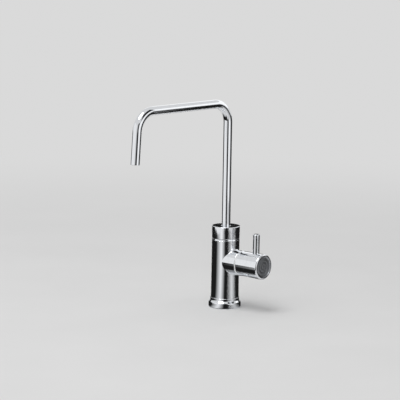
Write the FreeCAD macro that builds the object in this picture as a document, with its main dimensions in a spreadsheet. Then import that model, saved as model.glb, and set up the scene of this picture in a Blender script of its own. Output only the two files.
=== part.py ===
import FreeCAD, Part
import math
import os
import re
import Sketcher

# Deck-mounted water purifier tap: a bent spout that swivels in the top of a round body, and a
# quarter-turn valve in a barrel on the body's right side. Millimetres, +Z up. The origin is the
# centre of the flange's underside, on the deck. The spout reaches towards -Y, the handle is at +X.

# Driving dimensions, in millimetres and degrees
DIMENSIONS = {
    # clearances, each on one side
    "running_gap": 0.05,  # between a turning piece and its bore
    "screw_gap": 0.05,  # between two screwed pieces
    "push_gap": 0.03,  # between two pieces pushed or brazed together
    "seal_gap": 0.05,  # between a seal and the walls of its groove
    "face_gap": 0.1,  # between end faces that turn past each other
    "lap_gap": 0.02,  # between the two lapped valve discs
    "slip_gap": 0.4,  # between a loose ring or washer and what it slides over
    # spout tube
    "tube_diameter": 12.0,
    "tube_wall": 1.0,
    "bend_radius": 28.0,  # to the middle of the tube
    "arm_height": 286.0,  # middle of the arm above the deck
    "spout_reach": 186.0,  # tap's axis to the middle of the outlet
    "outlet_drop": 69.0,  # middle of the arm down to the outlet
    "outlet_splay": 4.0,  # lean of the outlet leg, foot outwards
    # flow straightener in the outlet
    "straightener_length": 8.0,
    "straightener_recess": 2.0,
    "straightener_web": 0.9,  # least wall around and between its holes
    "straightener_count": 6,
    # spout's foot
    "spigot_wall": 2.0,  # under the seal grooves
    "spigot_stop": 4.0,  # height of the ledge that the tube stands on
    "shoulder_lip": 2.5,  # how far the shoulder stands out over the socket
    "shoulder_thickness": 2.4,
    "o_ring_section": 1.9,
    "o_ring_slack": 0.5,  # spare width of a seal groove
    "groove_edge": 3.0,  # spigot's end to the first groove
    "groove_spacing": 6.0,
    "thrust_washer_thickness": 0.8,
    "bush_wall": 1.0,
    "bush_flange_thickness": 1.4,
    "bush_recess": 0.5,  # bush below the collar's top
    # collar
    "collar_height": 17.3,
    "collar_wall": 4.4,
    "collar_ring_thickness": 2.0,
    "ring_inset": 0.6,  # how far the seam rings stand in from the sides, the collar's at its top
    # body
    "body_diameter": 39.0,
    "body_below_axis": 51.2,
    "body_above_axis": 30.2,
    "edge_round": 0.8,
    "seam_round": 0.3,  # on the body's top edge, under the collar ring
    "neck_length": 9.4,
    "socket_floor_wall": 8.7,  # between the valve chamber and the spout's socket
    "socket_floor_gap": 1.0,
    "outlet_drill": 6.0,
    "outlet_drill_offset": 5.0,
    "inlet_drill": 7.0,
    "plenum_diameter": 16.0,
    "plenum_height": 4.0,
    # base
    "flange_ledge": 3.0,  # how far the flange stands out from the body
    "flange_rim_height": 7.6,
    "flange_slope_height": 3.0,
    "step_ledge": 0.7,  # how far the flange's step stands out from the body
    "base_height": 14.0,
    "gasket_thickness": 2.0,
    "gasket_width": 4.0,
    "gasket_margin": 2.0,  # flange's edge to the gasket's groove
    # fixing under the deck
    "shank_diameter": 21.0,
    "shank_bore": 11.0,
    "shank_engagement": 18.0,
    "shank_tail": 20.0,  # shank below the lock nut
    "end_chamfer": 1.0,
    "deck_thickness": 10.0,
    "deck_washer_thickness": 3.0,
    "deck_washer_width": 10.0,
    "clamp_washer_thickness": 2.0,
    "clamp_washer_width": 9.0,
    "lock_nut_thickness": 9.0,
    "lock_nut_wall": 5.5,  # least wall, at the flats
    # hose inlet
    "nipple_thread": 13.0,
    "nipple_thread_length": 10.0,
    "nipple_hex_height": 6.0,
    "nipple_hex_wall": 4.5,  # thread to the hexagon's flats
    "nipple_spigot_diameter": 10.0,
    "nipple_spigot_length": 18.0,
    "nipple_bore": 6.0,
    "inlet_washer_thickness": 1.5,
    "inlet_washer_width": 3.4,
    # valve barrel
    "barrel_diameter": 35.0,
    "boss_reach": 30.5,  # tap's axis to the end of the fixed boss
    "boss_wall": 2.8,  # around the glide ring's sleeve
    "crease_round": 1.0,  # fillet where the boss meets the body
    "seat_setback": 4.0,  # valve seat beyond the tap's axis
    "seat_bore": 10.0,
    "seat_bore_depth": 8.0,
    "glide_ring_thickness": 1.2,
    "glide_sleeve_length": 2.0,
    "glide_sleeve_wall": 1.3,
    # valve cartridge
    "disc_thickness": 3.5,
    "disc_play": 0.3,
    "port_margin": 1.6,  # disc's edge to its ports
    "port_core": 2.4,
    "port_angle": 70.0,
    "seat_seal_thickness": 3.0,
    "seat_seal_width": 3.0,
    "seat_seal_proud": 0.6,  # how far the seal stands out of the housing
    "drive_plate_thickness": 2.9,
    "drive_key_width": 4.0,
    "drive_key_depth": 1.4,
    "cup_wall": 1.6,
    "flow_gap": 0.8,
    "window_width": 8.0,
    "window_length": 6.0,
    "housing_end_wall": 4.0,
    "housing_lip": 1.7,
    "housing_lip_thickness": 3.0,
    "housing_neck_wall": 2.4,
    "cartridge_seal_section": 1.6,
    "cartridge_nut_hex_height": 5.5,
    "stem_diameter": 9.0,
    "stem_seal_section": 1.4,
    "stem_seal_setback": 10.0,  # from the housing's outer end
    "clip_thickness": 0.9,
    "clip_width": 2.6,
    "clip_groove_depth": 0.8,
    "clip_opening": 6.0,
    # handle
    "handle_wall": 2.5,
    "handle_skirt_depth": 14.2,
    "hub_depth": 9.0,
    "hub_wall": 2.0,
    "adaptor_wall": 2.6,
    "cap_cavity": 5.7,
    "cap_wall": 3.0,  # handle's wall around the cap
    "cap_ledge": 1.5,
    "cap_thickness": 3.0,
    "cap_recess": 0.8,
    "handle_end_round": 2.2,  # on the handle's outer end, within the wall around the cap
    "cap_wave_depth": 0.6,  # crest to trough of the rings turned in the cap's face
    "cap_wave_round": 3.0,
    "screw_diameter": 4.0,
    "screw_length": 12.0,
    "screw_head_diameter": 7.6,
    "screw_head_height": 2.6,
    "screw_recess": 3.0,
    "screw_key": 2.5,  # hexagon socket, across flats
    # lever
    "lever_diameter": 9.5,
    "lever_length": 27.4,
    "lever_round": 1.2,
    "lever_setback": 5.0,  # from the outer face of the handle's web
    "lever_stud_diameter": 6.0,
    "lever_stud_wall": 2.57,  # left between the stud and the hub
    "spot_depth": 0.8,  # flat milled under the lever
}
CAP_WAVE_COUNT = 3
HEX_SIDE_COUNT = 6

# Radii that follow from the driving dimensions
TUBE_R = "tube_diameter / 2"
BODY_R = "body_diameter / 2"
BARREL_R = "barrel_diameter / 2"
SHANK_R = "shank_diameter / 2"
GROOVE_R = f"({TUBE_R} + push_gap + spigot_wall)"
SOCKET_R = f"({GROOVE_R} + o_ring_section + 2 * seal_gap)"
NECK_R = f"({BODY_R} - collar_wall - screw_gap)"
SHOULDER_R = f"({SOCKET_R} + shoulder_lip)"
BUSH_R = f"({TUBE_R} + running_gap + bush_wall)"
GLIDE_SLEEVE_R = f"({BARREL_R} - boss_wall)"
GLIDE_BORE_R = f"({GLIDE_SLEEVE_R} - glide_sleeve_wall)"
CARTRIDGE_THREAD_R = f"({GLIDE_BORE_R} - slip_gap)"
CHAMBER_R = f"({CARTRIDGE_THREAD_R} - slip_gap - housing_lip)"
CUP_R = f"({CHAMBER_R} - flow_gap)"
CUP_BORE_R = f"({CUP_R} - cup_wall)"
DISC_R = f"({CUP_BORE_R} - disc_play)"
STEM_R = "stem_diameter / 2"
HOUSING_NECK_R = f"({STEM_R} + running_gap + housing_neck_wall)"
DRIVE_SIDE = f"(sqrt(2) * ({STEM_R} - running_gap))"
ADAPTOR_R = f"({STEM_R} + adaptor_wall)"
HUB_R = f"({ADAPTOR_R} + push_gap)"
CAP_R = f"({BARREL_R} - cap_wall)"
FLANGE_R = f"({BODY_R} + flange_ledge)"
STEP_R = f"({BODY_R} + step_ledge)"
HALF_FLATS = f"cos(180 / {HEX_SIDE_COUNT})"  # a hexagon's half width over flats, for a corner radius of 1

# Heights that follow
OUTLET_Z = "(arm_height - outlet_drop)"
AXIS_Z = "(base_height + body_below_axis)"
BODY_TOP_Z = f"({AXIS_Z} + body_above_axis)"
NECK_TOP_Z = f"({BODY_TOP_Z} + neck_length)"
SHOULDER_Z = f"({NECK_TOP_Z} + thrust_washer_thickness + face_gap)"
SOCKET_FLOOR_Z = f"({AXIS_Z} + {CHAMBER_R} + socket_floor_wall)"
SPIGOT_Z = f"({SOCKET_FLOOR_Z} + socket_floor_gap)"
SPIGOT_LENGTH = f"({SHOULDER_Z} - {SPIGOT_Z})"
TUBE_FOOT_Z = f"({SPIGOT_Z} + spigot_stop)"
BUSH_Z = f"({SHOULDER_Z} + shoulder_thickness + face_gap)"
COLLAR_Z = f"({BODY_TOP_Z} + collar_ring_thickness)"
COLLAR_LEDGE = f"({BUSH_Z} + bush_flange_thickness - {COLLAR_Z})"
DECK_WASHER_Z = "(-deck_thickness - deck_washer_thickness)"
CLAMP_WASHER_Z = f"({DECK_WASHER_Z} - clamp_washer_thickness)"
LOCK_NUT_Z = f"({CLAMP_WASHER_Z} - lock_nut_thickness)"
SHANK_Z = f"({LOCK_NUT_Z} - shank_tail)"
SHANK_LENGTH = f"(base_height + shank_engagement - {SHANK_Z})"

# Places along the valve's axis, from the tap's axis towards +X
SEAT_X = "(-seat_setback)"
FIXED_DISC_X = f"({SEAT_X} + seat_seal_thickness)"
MOVING_DISC_X = f"({FIXED_DISC_X} + disc_thickness + lap_gap)"
DRIVE_PLATE_X = f"({MOVING_DISC_X} + disc_thickness)"
CUP_FLOOR_X = f"({DRIVE_PLATE_X} + drive_plate_thickness + face_gap)"
LIP_X = f"({CUP_FLOOR_X} + housing_end_wall)"
NUT_X = f"({LIP_X} + housing_lip_thickness)"
HEX_X = "boss_reach"
NECK_END_X = f"({HEX_X} + cartridge_nut_hex_height + slip_gap)"
CLIP_X = f"({NECK_END_X} + face_gap)"
DRIVE_X = f"({CLIP_X} + clip_thickness + slip_gap)"
HANDLE_X = "(boss_reach + glide_ring_thickness + face_gap)"
HUB_X = f"({HANDLE_X} + handle_skirt_depth)"
HUB_FLOOR_X = f"({HUB_X} + hub_depth)"
SCREW_X = f"({HUB_FLOOR_X} + hub_wall)"
WEB_END_X = f"({SCREW_X} + screw_recess)"
CAP_X = f"({WEB_END_X} + cap_cavity)"
HANDLE_LENGTH = f"({CAP_X} + cap_thickness + cap_recess - {HANDLE_X})"
LEVER_X = f"({WEB_END_X} - lever_setback)"
LEVER_STUD_LENGTH = f"({BARREL_R} - spot_depth - {HUB_R} - lever_stud_wall)"

doc = FreeCAD.newDocument("purifier_tap")
sheet = doc.addObject("Spreadsheet::Sheet", "dims")
for row, (alias, size) in enumerate(DIMENSIONS.items(), start=1):
    sheet.set(f"A{row}", alias.replace("_", " "))
    sheet.set(f"B{row}", str(size))
    sheet.setAlias(f"B{row}", alias)
doc.recompute()

ORIGIN_INDEX = -1  # a sketch's own origin and horizontal axis
UPRIGHT_INDEX = -2  # a sketch's vertical axis
START_INDEX = 1
END_INDEX = 2
MIDDLE_INDEX = 3
FULL_TURN_DEG = 360
HALF_TURN_DEG = 180
QUARTER_TURN_DEG = 90
X_AXIS = FreeCAD.Vector(1, 0, 0)
Y_AXIS = FreeCAD.Vector(0, 1, 0)
Z_AXIS = FreeCAD.Vector(0, 0, 1)
CUT_PAST = 1.0  # how far a cutting tool runs past the face that it opens
VOLUME_RATIO_TOLERANCE = 1e-6
WALL_TOLERANCE = 1e-3  # how near to a wall an edge has to lie to count as on it
EDGE_SAMPLE_COUNT = 9

subparts = []


def amount(expression):
    """The present value of a size."""
    return float(sheet.evalExpression(expression))


def bind(thing, path, expression):
    """Tie one property to the sheet."""
    linked = re.sub(
        r"[a-z_]+",
        lambda word: f"dims.{word.group()}" if word.group() in DIMENSIONS else word.group(),
        expression,
    )
    thing.setExpression(path, linked)


def subpart(thing, label):
    """Name a finished piece, which is then written to its own file."""
    thing.Label = label
    subparts.append(thing)


def origin_plane(body, role):
    return next(plane for plane in body.Origin.OriginFeatures if plane.Role == role)


def new_sketch(body, name, role):
    sketch = body.newObject("Sketcher::SketchObject", name)
    sketch.AttachmentSupport = (origin_plane(body, role), "")
    sketch.MapMode = "FlatFace"
    return sketch


def pin_point(sketch, geometry, end, across, up):
    """Fix a sketch point at its distances from the sketch's origin."""
    for kind, axis, expression in (
        ("DistanceX", UPRIGHT_INDEX, across),
        ("DistanceY", ORIGIN_INDEX, up),
    ):
        if expression == "0":
            sketch.addConstraint(Sketcher.Constraint("PointOnObject", geometry, end, axis))
            continue
        rule = Sketcher.Constraint(kind, ORIGIN_INDEX, START_INDEX, geometry, end, amount(expression))
        bind(sketch, f"Constraints[{sketch.addConstraint(rule)}]", expression)


def draw_outline(sketch, corners, closed=True):
    """Straight sides through (across, up) corners. A third entry rounds that corner."""
    points = [FreeCAD.Vector(amount(corner[0]), amount(corner[1]), 0) for corner in corners]
    count = len(points)
    arrive, leave, rounds = list(points), list(points), {}
    for k, corner in enumerate(corners):
        if not corner[2:]:
            continue
        radius = amount(corner[2])
        back = (points[k - 1] - points[k]).normalize()
        ahead = (points[(k + 1) % count] - points[k]).normalize()
        half = back.getAngle(ahead) / 2
        arrive[k] = points[k] + back * (radius / math.tan(half))
        leave[k] = points[k] + ahead * (radius / math.tan(half))
        middle = points[k] + (back + ahead).normalize() * (radius / math.sin(half))
        rounds[k] = (middle, radius, ahead.cross(back).z > 0)

    sides = count if closed else count - 1
    for k in range(sides):
        sketch.addGeometry(Part.LineSegment(leave[k], arrive[(k + 1) % count]), False)
    for k, corner in enumerate(corners):
        before = (k - 1) % count
        if k in rounds:
            round_corner(sketch, corner, points[k], (arrive[k], leave[k]), rounds[k], before, k)
            continue
        if closed or 0 < k < count - 1:
            sketch.addConstraint(Sketcher.Constraint("Coincident", before, END_INDEX, k, START_INDEX))
        if k < sides:
            pin_point(sketch, k, START_INDEX, corner[0], corner[1])
        else:
            pin_point(sketch, before, END_INDEX, corner[0], corner[1])


def round_corner(sketch, corner, point, ends, arc, before, after):
    """An arc between two sides, whose lines still meet at the corner itself."""
    middle, radius, left_turn = arc
    first, last = ends if left_turn else reversed(ends)
    angles = [math.atan2(end.y - middle.y, end.x - middle.x) for end in (first, last)]
    curve = Part.ArcOfCircle(Part.Circle(middle, Z_AXIS, radius), *angles)
    bow = sketch.addGeometry(curve, False)
    mark = sketch.addGeometry(Part.Point(point), True)
    near, far = (START_INDEX, END_INDEX) if left_turn else (END_INDEX, START_INDEX)
    sketch.addConstraint(Sketcher.Constraint("Tangent", before, END_INDEX, bow, near))
    sketch.addConstraint(Sketcher.Constraint("Tangent", bow, far, after, START_INDEX))
    sketch.addConstraint(Sketcher.Constraint("PointOnObject", mark, START_INDEX, before))
    sketch.addConstraint(Sketcher.Constraint("PointOnObject", mark, START_INDEX, after))
    rule = Sketcher.Constraint("Radius", bow, radius)
    bind(sketch, f"Constraints[{sketch.addConstraint(rule)}]", corner[2])
    pin_point(sketch, mark, START_INDEX, corner[0], corner[1])


def draw_circle(sketch, radius, across="0"):
    """A circle on the sketch's horizontal axis."""
    middle = FreeCAD.Vector(amount(across), 0, 0)
    ring = sketch.addGeometry(Part.Circle(middle, Z_AXIS, amount(radius)), False)
    rule = Sketcher.Constraint("Radius", ring, amount(radius))
    bind(sketch, f"Constraints[{sketch.addConstraint(rule)}]", radius)
    pin_point(sketch, ring, MIDDLE_INDEX, across, "0")


def turned(name, corners):
    """A lathe-turned body: an outline of (radius, height) corners about its own Z axis."""
    body = doc.addObject("PartDesign::Body", name)
    sketch = new_sketch(body, f"{name}_outline", "XZ_Plane")
    draw_outline(sketch, corners)
    turning = body.newObject("PartDesign::Revolution", f"{name}_turning")
    turning.Profile = sketch
    turning.ReferenceAxis = (sketch, ["V_Axis"])
    turning.Angle = FULL_TURN_DEG
    return body


def tube_outline(inner, outer, length):
    """A plain ring or sleeve standing on its end."""
    return [(inner, "0"), (outer, "0"), (outer, length), (inner, length)]


def cylinder(name, radius, height):
    rod = doc.addObject("Part::Cylinder", name)
    bind(rod, "Radius", radius)
    bind(rod, "Height", height)
    return rod


def hexagon(name, half_flats, height):
    """A hexagonal prism whose flats lie half_flats from its axis."""
    prism = doc.addObject("Part::Prism", name)
    prism.Polygon = HEX_SIDE_COUNT
    bind(prism, "Circumradius", f"({half_flats}) / {HALF_FLATS}")
    bind(prism, "Height", height)
    return prism


def block(name, length, width, height):
    box = doc.addObject("Part::Box", name)
    bind(box, "Length", length)
    bind(box, "Width", width)
    bind(box, "Height", height)
    return box


def o_ring(name, ring_radius, section):
    ring = doc.addObject("Part::Torus", name)
    bind(ring, "Radius1", ring_radius)
    bind(ring, "Radius2", f"({section}) / 2")
    return ring


def cut(name, base, *tools):
    tool = tools[0]
    if len(tools) > 1:
        tool = doc.addObject("Part::MultiFuse", f"{name}_tools")
        tool.Shapes = list(tools)
    result = doc.addObject("Part::Cut", name)
    result.Base = base
    result.Tool = tool
    return result


def fuse(name, *pieces):
    result = doc.addObject("Part::MultiFuse", name)
    result.Shapes = list(pieces)
    return result


def place(thing, across="0", along="0", up="0", turn=None):
    """Set a piece at its place in the tap, with an optional (axis, degrees) turn."""
    if turn:
        thing.Placement = FreeCAD.Placement(FreeCAD.Vector(), FreeCAD.Rotation(*turn))
    for path, expression in (("x", across), ("y", along), ("z", up)):
        if expression != "0":
            bind(thing, f".Placement.Base.{path}", expression)
    return thing


def on_barrel(thing, along_axis):
    """Lay a piece along the valve's axis, with its own Z axis towards +X."""
    return place(thing, across=along_axis, up=AXIS_Z, turn=(Y_AXIS, QUARTER_TURN_DEG))


# Spout tube: one bent tube, its arm towards -Y, with its foot inside the spigot
def build_spout_tube():
    body = doc.addObject("PartDesign::Body", "spout_tube")
    arm = f"arm_height - {TUBE_FOOT_Z}"
    outlet = f"{OUTLET_Z} - {TUBE_FOOT_Z}"
    path = new_sketch(body, "spout_path", "XZ_Plane")
    corners = [
        ("0", "0"),
        ("0", arm, "bend_radius"),
        ("spout_reach - outlet_drop * tan(outlet_splay)", arm, "bend_radius"),
        ("spout_reach", outlet),
    ]
    draw_outline(path, corners, closed=False)
    section = new_sketch(body, "spout_section", "XY_Plane")
    draw_circle(section, TUBE_R)
    draw_circle(section, f"{TUBE_R} - tube_wall")
    pipe = body.newObject("PartDesign::AdditivePipe", "spout_pipe")
    pipe.Profile = section
    pipe.Spine = (path, [])
    subpart(place(body, up=TUBE_FOOT_Z, turn=(Z_AXIS, -QUARTER_TURN_DEG)), "spout_tube")


build_spout_tube()


# Flow straightener: a plastic plug with a ring of small holes, set back in the outlet
def build_straightener():
    plug_r = f"({TUBE_R} - tube_wall - push_gap)"
    half_step = "sin(180 / straightener_count)"
    spare = f"(2 * {half_step} * ({plug_r} - straightener_web) - straightener_web)"
    hole_r = f"({spare} / (2 + 2 * {half_step}))"
    body = turned("outlet_straightener", tube_outline("0", plug_r, "straightener_length"))
    doc.recompute()
    before = body.Shape.Volume
    holes = new_sketch(body, "straightener_hole_circle", "XY_Plane")
    draw_circle(holes, hole_r, f"{plug_r} - straightener_web - {hole_r}")
    drilling = body.newObject("PartDesign::Pocket", "straightener_drilling")
    drilling.Profile = holes
    drilling.Type = "ThroughAll"
    drilling.Reversed = True
    pattern = body.newObject("PartDesign::PolarPattern", "straightener_pattern")
    pattern.Originals = [drilling]
    pattern.Axis = (holes, ["N_Axis"])
    pattern.Angle = FULL_TURN_DEG
    bind(pattern, "Occurrences", "straightener_count")
    body.Tip = pattern
    doc.recompute()
    drilled = before - body.Shape.Volume
    wanted = f"straightener_count * pi * {hole_r} ^ 2 * straightener_length"
    if not math.isclose(drilled, amount(wanted), rel_tol=VOLUME_RATIO_TOLERANCE):
        raise RuntimeError("the straightener's holes were not cut")
    body.Placement.Rotation = FreeCAD.Rotation(-X_AXIS, amount("outlet_splay"))
    bind(body, ".Placement.Rotation.Angle", "outlet_splay")
    place(
        body,
        along="straightener_recess * sin(outlet_splay) - spout_reach",
        up=f"{OUTLET_Z} + straightener_recess * cos(outlet_splay)",
    )
    subpart(body, "outlet_straightener")


build_straightener()

# Spigot: brass foot brazed to the tube, with two seal grooves and a shoulder that holds it down
spigot_r = f"({SOCKET_R} - running_gap)"
groove_width = "(o_ring_section + o_ring_slack)"
spigot_outline = [(f"{TUBE_R} - tube_wall", "0"), (spigot_r, "0")]
groove_starts = ["groove_edge", "(groove_edge + groove_spacing)"]
for start in groove_starts:
    spigot_outline += [
        (spigot_r, start),
        (GROOVE_R, start),
        (GROOVE_R, f"{start} + {groove_width}"),
        (spigot_r, f"{start} + {groove_width}"),
    ]
spigot_outline += [
    (spigot_r, SPIGOT_LENGTH),
    (SHOULDER_R, SPIGOT_LENGTH),
    (SHOULDER_R, f"{SPIGOT_LENGTH} + shoulder_thickness"),
    (f"{TUBE_R} + push_gap", f"{SPIGOT_LENGTH} + shoulder_thickness"),
    (f"{TUBE_R} + push_gap", "spigot_stop"),
    (f"{TUBE_R} - tube_wall", "spigot_stop"),
]
subpart(place(turned("spigot", spigot_outline), up=SPIGOT_Z), "spout_spigot")

# Spout seals: two rubber rings in the spigot's grooves, drawn as they lie squeezed
spout_seals = []
for number, start in enumerate(groove_starts, start=1):
    seal = o_ring(f"spout_seal_{number}", f"{GROOVE_R} + seal_gap + o_ring_section / 2", "o_ring_section")
    spout_seals.append(place(seal, up=f"{SPIGOT_Z} + {start} + {groove_width} / 2"))
spout_o_rings = doc.addObject("Part::Compound", "spout_seal_pair")
spout_o_rings.Links = spout_seals
subpart(spout_o_rings, "spout_o_rings")

# Thrust washer: plastic ring on the neck that the spigot's shoulder turns on
thrust_outline = tube_outline(f"{SOCKET_R} + slip_gap", SHOULDER_R, "thrust_washer_thickness")
subpart(place(turned("thrust_washer", thrust_outline), up=NECK_TOP_Z), "spout_thrust_washer")

# Bush: flanged plastic bearing between the tube and the collar
bush_bore = f"({TUBE_R} + running_gap)"
bush_top = f"({COLLAR_Z} + collar_height - bush_recess - {BUSH_Z})"
bush_outline = [
    (bush_bore, "0"),
    (SHOULDER_R, "0"),
    (SHOULDER_R, "bush_flange_thickness"),
    (BUSH_R, "bush_flange_thickness"),
    (BUSH_R, bush_top),
    (bush_bore, bush_top),
]
subpart(place(turned("bush", bush_outline), up=BUSH_Z), "spout_bush")

# Collar: round cap nut that screws on the neck and holds the spout down
collar_outline = [
    (f"{NECK_R} + screw_gap", "0"),
    (BODY_R, "0", "edge_round"),
    (BODY_R, "collar_height", "edge_round"),
    (f"{BUSH_R} + push_gap", "collar_height"),
    (f"{BUSH_R} + push_gap", COLLAR_LEDGE),
    (f"{NECK_R} + screw_gap", COLLAR_LEDGE),
]
subpart(place(turned("collar", collar_outline), up=COLLAR_Z), "spout_collar")

# Collar ring: thin ring in the seam between collar and body, tapered so that it catches the light
seam_outline = [
    (f"{NECK_R} + screw_gap", "0"),
    (BODY_R, "0"),
    (f"{BODY_R} - ring_inset", "collar_ring_thickness"),
    (f"{NECK_R} + screw_gap", "collar_ring_thickness"),
]
subpart(place(turned("seam_ring", seam_outline), up=BODY_TOP_Z), "collar_ring")


def on_both_walls(edge):
    """Whether an edge runs along the crease between the body's wall and the boss's."""
    for point in edge.discretize(EDGE_SAMPLE_COUNT):
        off_body = math.hypot(point.x, point.y) - amount(BODY_R)
        off_boss = math.hypot(point.y, point.z - amount(AXIS_Z)) - amount(BARREL_R)
        if max(abs(off_body), abs(off_boss)) > WALL_TOLERANCE:
            return False
    return True


# Valve body: brass, with the spout's socket on top and the valve's boss on its right side
def build_valve_body():
    length = "(body_below_axis + body_above_axis)"
    column = turned(
        "body_column",
        [
            ("0", "0"),
            (BODY_R, "0"),
            (BODY_R, length, "seam_round"),
            (NECK_R, length),
            (NECK_R, f"{length} + neck_length"),
            ("0", f"{length} + neck_length"),
        ],
    )
    place(column, up="base_height")
    boss_outline = [
        ("0", "0"),
        (BARREL_R, "0"),
        (BARREL_R, "boss_reach", "edge_round"),
        ("0", "boss_reach"),
    ]
    boss = on_barrel(turned("body_boss", boss_outline), "0")
    socket = cylinder("socket_bore", SOCKET_R, f"{NECK_TOP_Z} - {SOCKET_FLOOR_Z} + {CUT_PAST}")
    place(socket, up=SOCKET_FLOOR_Z)
    shank_hole = cylinder("shank_hole", f"{SHANK_R} + screw_gap", f"shank_engagement + {CUT_PAST}")
    place(shank_hole, up=f"base_height - {CUT_PAST}")
    plenum = cylinder("inlet_plenum", "plenum_diameter / 2", "shank_engagement + plenum_height")
    place(plenum, up="base_height")
    riser = cylinder("inlet_riser", "inlet_drill / 2", "body_below_axis - shank_engagement")
    place(riser, across=f"{SEAT_X} - seat_bore_depth / 2", up="base_height + shank_engagement")
    outlet = cylinder("outlet_riser", "outlet_drill / 2", f"{SOCKET_FLOOR_Z} - {AXIS_Z} + {CUT_PAST}")
    place(outlet, across="outlet_drill_offset", up=AXIS_Z)
    seat = cylinder("seat_hole", "seat_bore / 2", f"seat_bore_depth + {CUT_PAST}")
    on_barrel(seat, f"{SEAT_X} - seat_bore_depth")
    chamber = cylinder("valve_chamber", CHAMBER_R, f"{LIP_X} - {SEAT_X} + {CUT_PAST}")
    on_barrel(chamber, SEAT_X)
    thread = cylinder(
        "cartridge_thread", f"{CARTRIDGE_THREAD_R} + screw_gap", f"{HEX_X} - {LIP_X} + {CUT_PAST}"
    )
    on_barrel(thread, LIP_X)
    mouth = cylinder("glide_seat", f"{GLIDE_SLEEVE_R} + push_gap", f"glide_sleeve_length + {CUT_PAST}")
    on_barrel(mouth, f"{HEX_X} - glide_sleeve_length")
    joined = fuse("body_joined", column, boss)
    doc.recompute()
    creases = [number for number, edge in enumerate(joined.Shape.Edges, start=1) if on_both_walls(edge)]
    casting = doc.addObject("Part::Fillet", "body_casting")
    casting.Base = joined
    casting.Edges = [(number, amount("crease_round"), amount("crease_round")) for number in creases]
    tools = (socket, shank_hole, plenum, riser, outlet, seat, chamber, thread, mouth)
    subpart(cut("body_bored", casting, *tools), "valve_body")


build_valve_body()

# Base flange: stepped chrome ring between the body and the deck, with a groove for its gasket
flange_bore = f"({SHANK_R} + slip_gap)"
gasket_outer = f"({FLANGE_R} - gasket_margin)"
gasket_inner = f"({gasket_outer} - gasket_width)"
flange_outline = [
    (flange_bore, "0"),
    (gasket_inner, "0"),
    (gasket_inner, "gasket_thickness"),
    (gasket_outer, "gasket_thickness"),
    (gasket_outer, "0"),
    (FLANGE_R, "0"),
    (FLANGE_R, "flange_rim_height", "edge_round"),
    (STEP_R, "flange_rim_height + flange_slope_height"),
    (STEP_R, "base_height", "step_ledge / 2"),
    (flange_bore, "base_height"),
]
subpart(turned("flange", flange_outline), "base_flange")

# Base gasket: soft ring in the flange's groove, level with its underside
gasket_outline = tube_outline(
    f"{gasket_inner} + push_gap", f"{gasket_outer} - push_gap", "gasket_thickness"
)
subpart(turned("gasket", gasket_outline), "base_gasket")

# Mounting shank: threaded brass tube, screwed up into the body and through the deck
nipple_hole_r = "(nipple_thread / 2 + screw_gap)"
shank_outline = [
    (nipple_hole_r, "0"),
    (f"{SHANK_R} - end_chamfer", "0"),
    (SHANK_R, "end_chamfer"),
    (SHANK_R, SHANK_LENGTH),
    ("shank_bore / 2", SHANK_LENGTH),
    ("shank_bore / 2", "nipple_thread_length"),
    (nipple_hole_r, "nipple_thread_length"),
]
subpart(place(turned("shank", shank_outline), up=SHANK_Z), "mounting_shank")

# Deck washer: rubber, against the underside of the deck
loose_bore = f"({SHANK_R} + slip_gap)"
deck_washer_outline = tube_outline(
    loose_bore, f"{loose_bore} + deck_washer_width", "deck_washer_thickness"
)
subpart(place(turned("soft_washer", deck_washer_outline), up=DECK_WASHER_Z), "deck_washer")

# Clamp washer: steel, spreads the nut's load on the rubber
clamp_washer_outline = tube_outline(
    loose_bore, f"{loose_bore} + clamp_washer_width", "clamp_washer_thickness"
)
subpart(place(turned("steel_washer", clamp_washer_outline), up=CLAMP_WASHER_Z), "clamp_washer")


# Lock nut: brass hexagon with chamfered corners
def build_lock_nut():
    bore = f"({SHANK_R} + screw_gap)"
    flats = f"({bore} + lock_nut_wall)"
    corner = f"({flats} / {HALF_FLATS})"
    blank = turned(
        "lock_nut_blank",
        [
            (bore, "0"),
            (flats, "0"),
            (corner, f"({corner} - {flats}) / 2"),
            (corner, f"lock_nut_thickness - ({corner} - {flats}) / 2"),
            (flats, "lock_nut_thickness"),
            (bore, "lock_nut_thickness"),
        ],
    )
    place(blank, up=LOCK_NUT_Z)
    prism = place(hexagon("lock_nut_prism", flats, "lock_nut_thickness"), up=LOCK_NUT_Z)
    nut = doc.addObject("Part::Common", "lock_nut_faced")
    nut.Base = prism
    nut.Tool = blank
    subpart(nut, "lock_nut")


build_lock_nut()


# Inlet nipple: screws into the shank's foot, with a plain spigot that the hose pushes on to
def build_inlet_nipple():
    thread_r = "nipple_thread / 2"
    spigot_r = "nipple_spigot_diameter / 2"
    hex_z = "nipple_spigot_length"
    hex_top = "(nipple_spigot_length + nipple_hex_height)"
    top = f"({hex_top} + inlet_washer_thickness + nipple_thread_length - face_gap)"
    core = turned(
        "nipple_core",
        [
            ("nipple_bore / 2", "0"),
            (f"{spigot_r} - end_chamfer", "0"),
            (spigot_r, "end_chamfer"),
            (spigot_r, hex_z),
            (thread_r, hex_z),
            (thread_r, top),
            ("nipple_bore / 2", top),
        ],
    )
    place(core, up=f"{SHANK_Z} - inlet_washer_thickness - {hex_top}")
    flats = f"({thread_r} + nipple_hex_wall)"
    prism = hexagon("nipple_hexagon", flats, "nipple_hex_height")
    place(prism, up=f"{SHANK_Z} - inlet_washer_thickness - nipple_hex_height")
    bore = cylinder("nipple_hex_bore", thread_r, "nipple_hex_height")
    place(bore, up=f"{SHANK_Z} - inlet_washer_thickness - nipple_hex_height")
    collar = cut("nipple_collar", prism, bore)
    subpart(fuse("nipple_joined", core, collar), "inlet_nipple")


build_inlet_nipple()

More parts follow.
